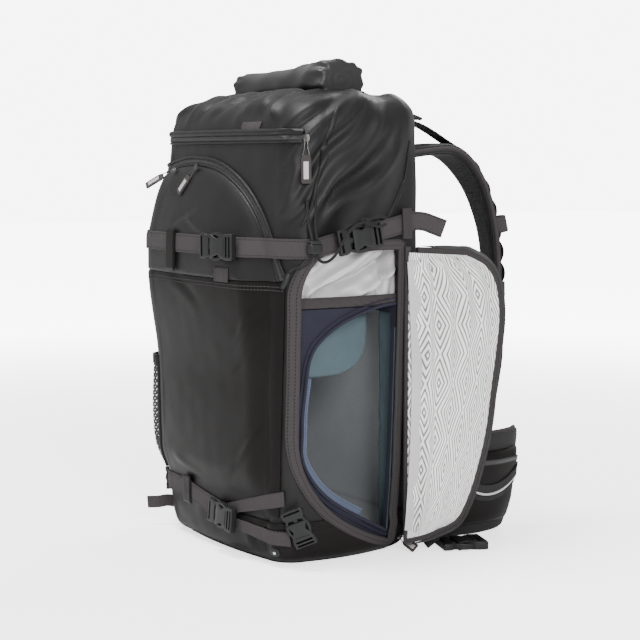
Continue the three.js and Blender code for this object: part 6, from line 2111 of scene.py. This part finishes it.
def turned(name, rings, axis_from, axis_to, finish, slot, node=(), sides=20):
    """A turned form: (share along the axis, radius) rings between two points."""
    a, b = np.array(axis_from, float), np.array(axis_to, float)
    along = (b - a) / np.linalg.norm(b - a)
    side = np.cross(along, (0.31, 0.53, 0.79))
    side /= np.linalg.norm(side)
    other = np.cross(along, side)
    angle = np.linspace(0, 2 * math.pi, sides, endpoint=False)
    circle = np.cos(angle)[:, None] * side + np.sin(angle)[:, None] * other
    points = np.array([a + (b - a) * s + circle * r for s, r in rings]).reshape(-1, 3)
    n = len(rings)
    faces = [tuple(f) for f in grid_faces(n, sides, 0, wrap_j=True)]
    faces += [tuple(range(sides)), tuple(range((n - 1) * sides, n * sides))[::-1]]
    return make_piece(name, points, faces, finish, slot, node)


# Cord lock: a barrel with a ribbed button, and the cap on the short cord's end
lock_low, lock_high = (np.array(v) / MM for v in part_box("cord_lock"))
lock_mid = (lock_low + lock_high) / 2
barrel = bar((9.4, 14.6, 10), lock_mid - [0, 0, 1.4], 2.2, 4)
button = bar((7.6, 12.4, 3.4), lock_mid + [0, 0, 4.9], 1.2, 3)
grips = [bar((1, 13.4, 0.8), lock_mid + [4.4, 0, z], 0.3, 1) for z in (-4, -2, 0)]
lock = joined([barrel, button, *grips])
lock.name = "cord_barrel"
smooth_shade(lock.data)
dress(lock, plastic, "plastic", "cord_lock")

short_end = np.array(SHORT_CORD[-1], float)
end_way = short_end - np.array(SHORT_CORD[-2], float)
end_way /= np.linalg.norm(end_way)
end_way += [0, 0, -0.6]
end_way /= np.linalg.norm(end_way)
cap_rings = [(0, 1.9), (0.06, 2.3), (0.5, 2.6), (0.9, 2.3), (1, 1.6)]
turned("cord_cap", cap_rings, short_end + end_way * 0.9, short_end + end_way * 14 + [0, 0, -3.6],
       plastic, "plastic", "cord_end", 16)
free_cord("drawn_cord_short", SHORT_CORD, "cord_short")

# Overhand knot in the end of the long cord, with its two tails
knot_at = np.array(LONG_CORD[-1], float)
t = np.linspace(0, 2 * math.pi, 60, endpoint=False)
trefoil = np.stack([np.cos(3 * t) * 1.5, np.sin(t) + 2 * np.sin(2 * t), np.cos(t) - 2 * np.cos(2 * t)],
                   -1) * 1.35
trefoil = trefoil + knot_at + [1.2, 2, 0]
knot_parts = [sweep("cord_knot", trefoil, (1, 0.2, 0.1), round_loop(CORD / 2, 10), sheath, "mesh", wrap=True)]
for word, rise in (("high", 5), ("low", -4)):
    tail = smooth_path([knot_at + [1.5, 3, rise * 0.4], knot_at + [2.5, 10, rise * 0.9],
                        knot_at + [2.0, 18, rise * 1.1], knot_at + [1.0, 25, rise * 0.7]], 24)
    knot_parts.append(sweep(f"knot_tail_{word}", tail, (1, 0, 0.1), round_loop(CORD / 2, 10), sheath, "mesh"))
free_cord("drawn_cord_long", LONG_CORD, "cord_long")

# Snap on the base at the front corner: a dark ring round a bright stud
SNAP_PLACE, SNAP_HEIGHT = 1.3, 15.5
snap = layers["bare"].at(SNAP_PLACE, SNAP_HEIGHT, 2.2)
snap_out = layers["bare"].at(SNAP_PLACE, SNAP_HEIGHT, 5.0) - snap
snap_out /= np.linalg.norm(snap_out)
turned("base_snap", [(0, 5.4), (0.6, 5.4), (0.9, 4.7), (1, 3.6)], snap - snap_out * 0.8,
       snap + snap_out * 1.2, plastic, "plastic", (), 24)
turned("snap_stud", [(0, 1.7), (0.4, 1.7), (0.8, 1.2), (1, 0.5)], snap + snap_out * 1.25,
       snap + snap_out * 2.5, bright, "metal", (), 16)

# Webbing loop at the left front corner
loop_turn = math.radians(-37)
spin = np.array([[math.cos(loop_turn), -math.sin(loop_turn), 0],
                 [math.sin(loop_turn), math.cos(loop_turn), 0], [0, 0, 1]])
flat_points = np.array([v.co[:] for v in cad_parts["tripod_loop"].data.vertices]) / MM @ spin
root_y, tip_y = flat_points[:, 1].max(), flat_points[:, 1].min()
centre = np.array([
    (-48, root_y, 27), (-49, root_y - 10, 28), (-46, root_y - 20, 27), (-48, tip_y, 26),
], float)
sweep("corner_loop", smooth_path(centre @ spin.T, 30), (0, 0, 1), flat_loop(13.6, 3.0), strap_web,
      "webbing", "tripod_loop")


# View, floor and light

def aim(obj, at):
    obj.rotation_euler = (Vector(at) - obj.location).to_track_quat("-Z", "Y").to_euler()


camera_data = bpy.data.cameras.new("camera")
camera_data.lens, camera_data.sensor_width = 90, 36
camera = in_scene("camera", camera_data)
AZIMUTH, DROP = math.radians(56), 162 / 1600
look = Vector((-math.sin(AZIMUTH), math.cos(AZIMUTH), -DROP)).normalized()
camera.location = (1.4452, -0.9333, 0.412)
camera.rotation_euler = look.to_track_quat("-Z", "Y").to_euler()
bpy.context.scene.camera = camera

# White paper all round, brighter to the camera than as a light
BACKGROUND, DAYLIGHT = 7.0, 0.9
floor_mesh = bpy.data.meshes.new("floor")
floor_mesh.from_pydata([(-8, -8, 0), (8, -8, 0), (8, 8, 0), (-8, 8, 0)], [], [(0, 1, 2, 3)])
floor = in_scene("floor", floor_mesh)
ground = Finish("pale_floor", roughness=0.9, emission_strength=BACKGROUND)
floor_x, floor_y, _ = ground.parts(ground.object_at())
# The floor's glow to the camera is painted light; it is weakest near the bag, so the floor round the bag is
# painted greyer, a painted shade.
far_off = (floor_x * floor_x + floor_y * floor_y).between(0.1, 5.0) * 0.76 + 0.24
seen = ground.add("ShaderNodeLightPath")
ground.base((0.93, 0.93, 0.93))
ground.put(ground.shader.inputs["Emission Color"], ground.colour((0, 0, 0), (1, 1, 1), far_off * seen))
floor_mesh.materials.append(ground.material)

world = bpy.data.worlds.new("studio")
world.use_nodes = True
sky = world.node_tree
sky.nodes["Background"].inputs["Color"].default_value = (1, 1, 1, 1)
view_ray = sky.nodes.new("ShaderNodeLightPath")
strength = sky.nodes.new("ShaderNodeMapRange")
strength.inputs["To Min"].default_value = DAYLIGHT
strength.inputs["To Max"].default_value = BACKGROUND
sky.links.new(view_ray.outputs["Is Camera Ray"], strength.inputs["Value"])
sky.links.new(strength.outputs["Result"], sky.nodes["Background"].inputs["Strength"])
bpy.context.scene.world = world


def lamp(name, at, to, size, power):
    data = bpy.data.lights.new(name, "AREA")
    data.shape, data.size, data.energy = "DISK", size, power
    light = in_scene(name, data)
    light.location = at
    aim(light, to)


lamp("key", (-0.3, -0.75, 2.7), (0, 0, 0.3), 0.9, 108)
lamp("door_side", (2.0, -0.6, 0.95), (0.1, 0, 0.25), 0.7, 46)
lamp("back", (-0.9, 1.7, 1.9), (0, 0, 0.3), 1.0, 30)
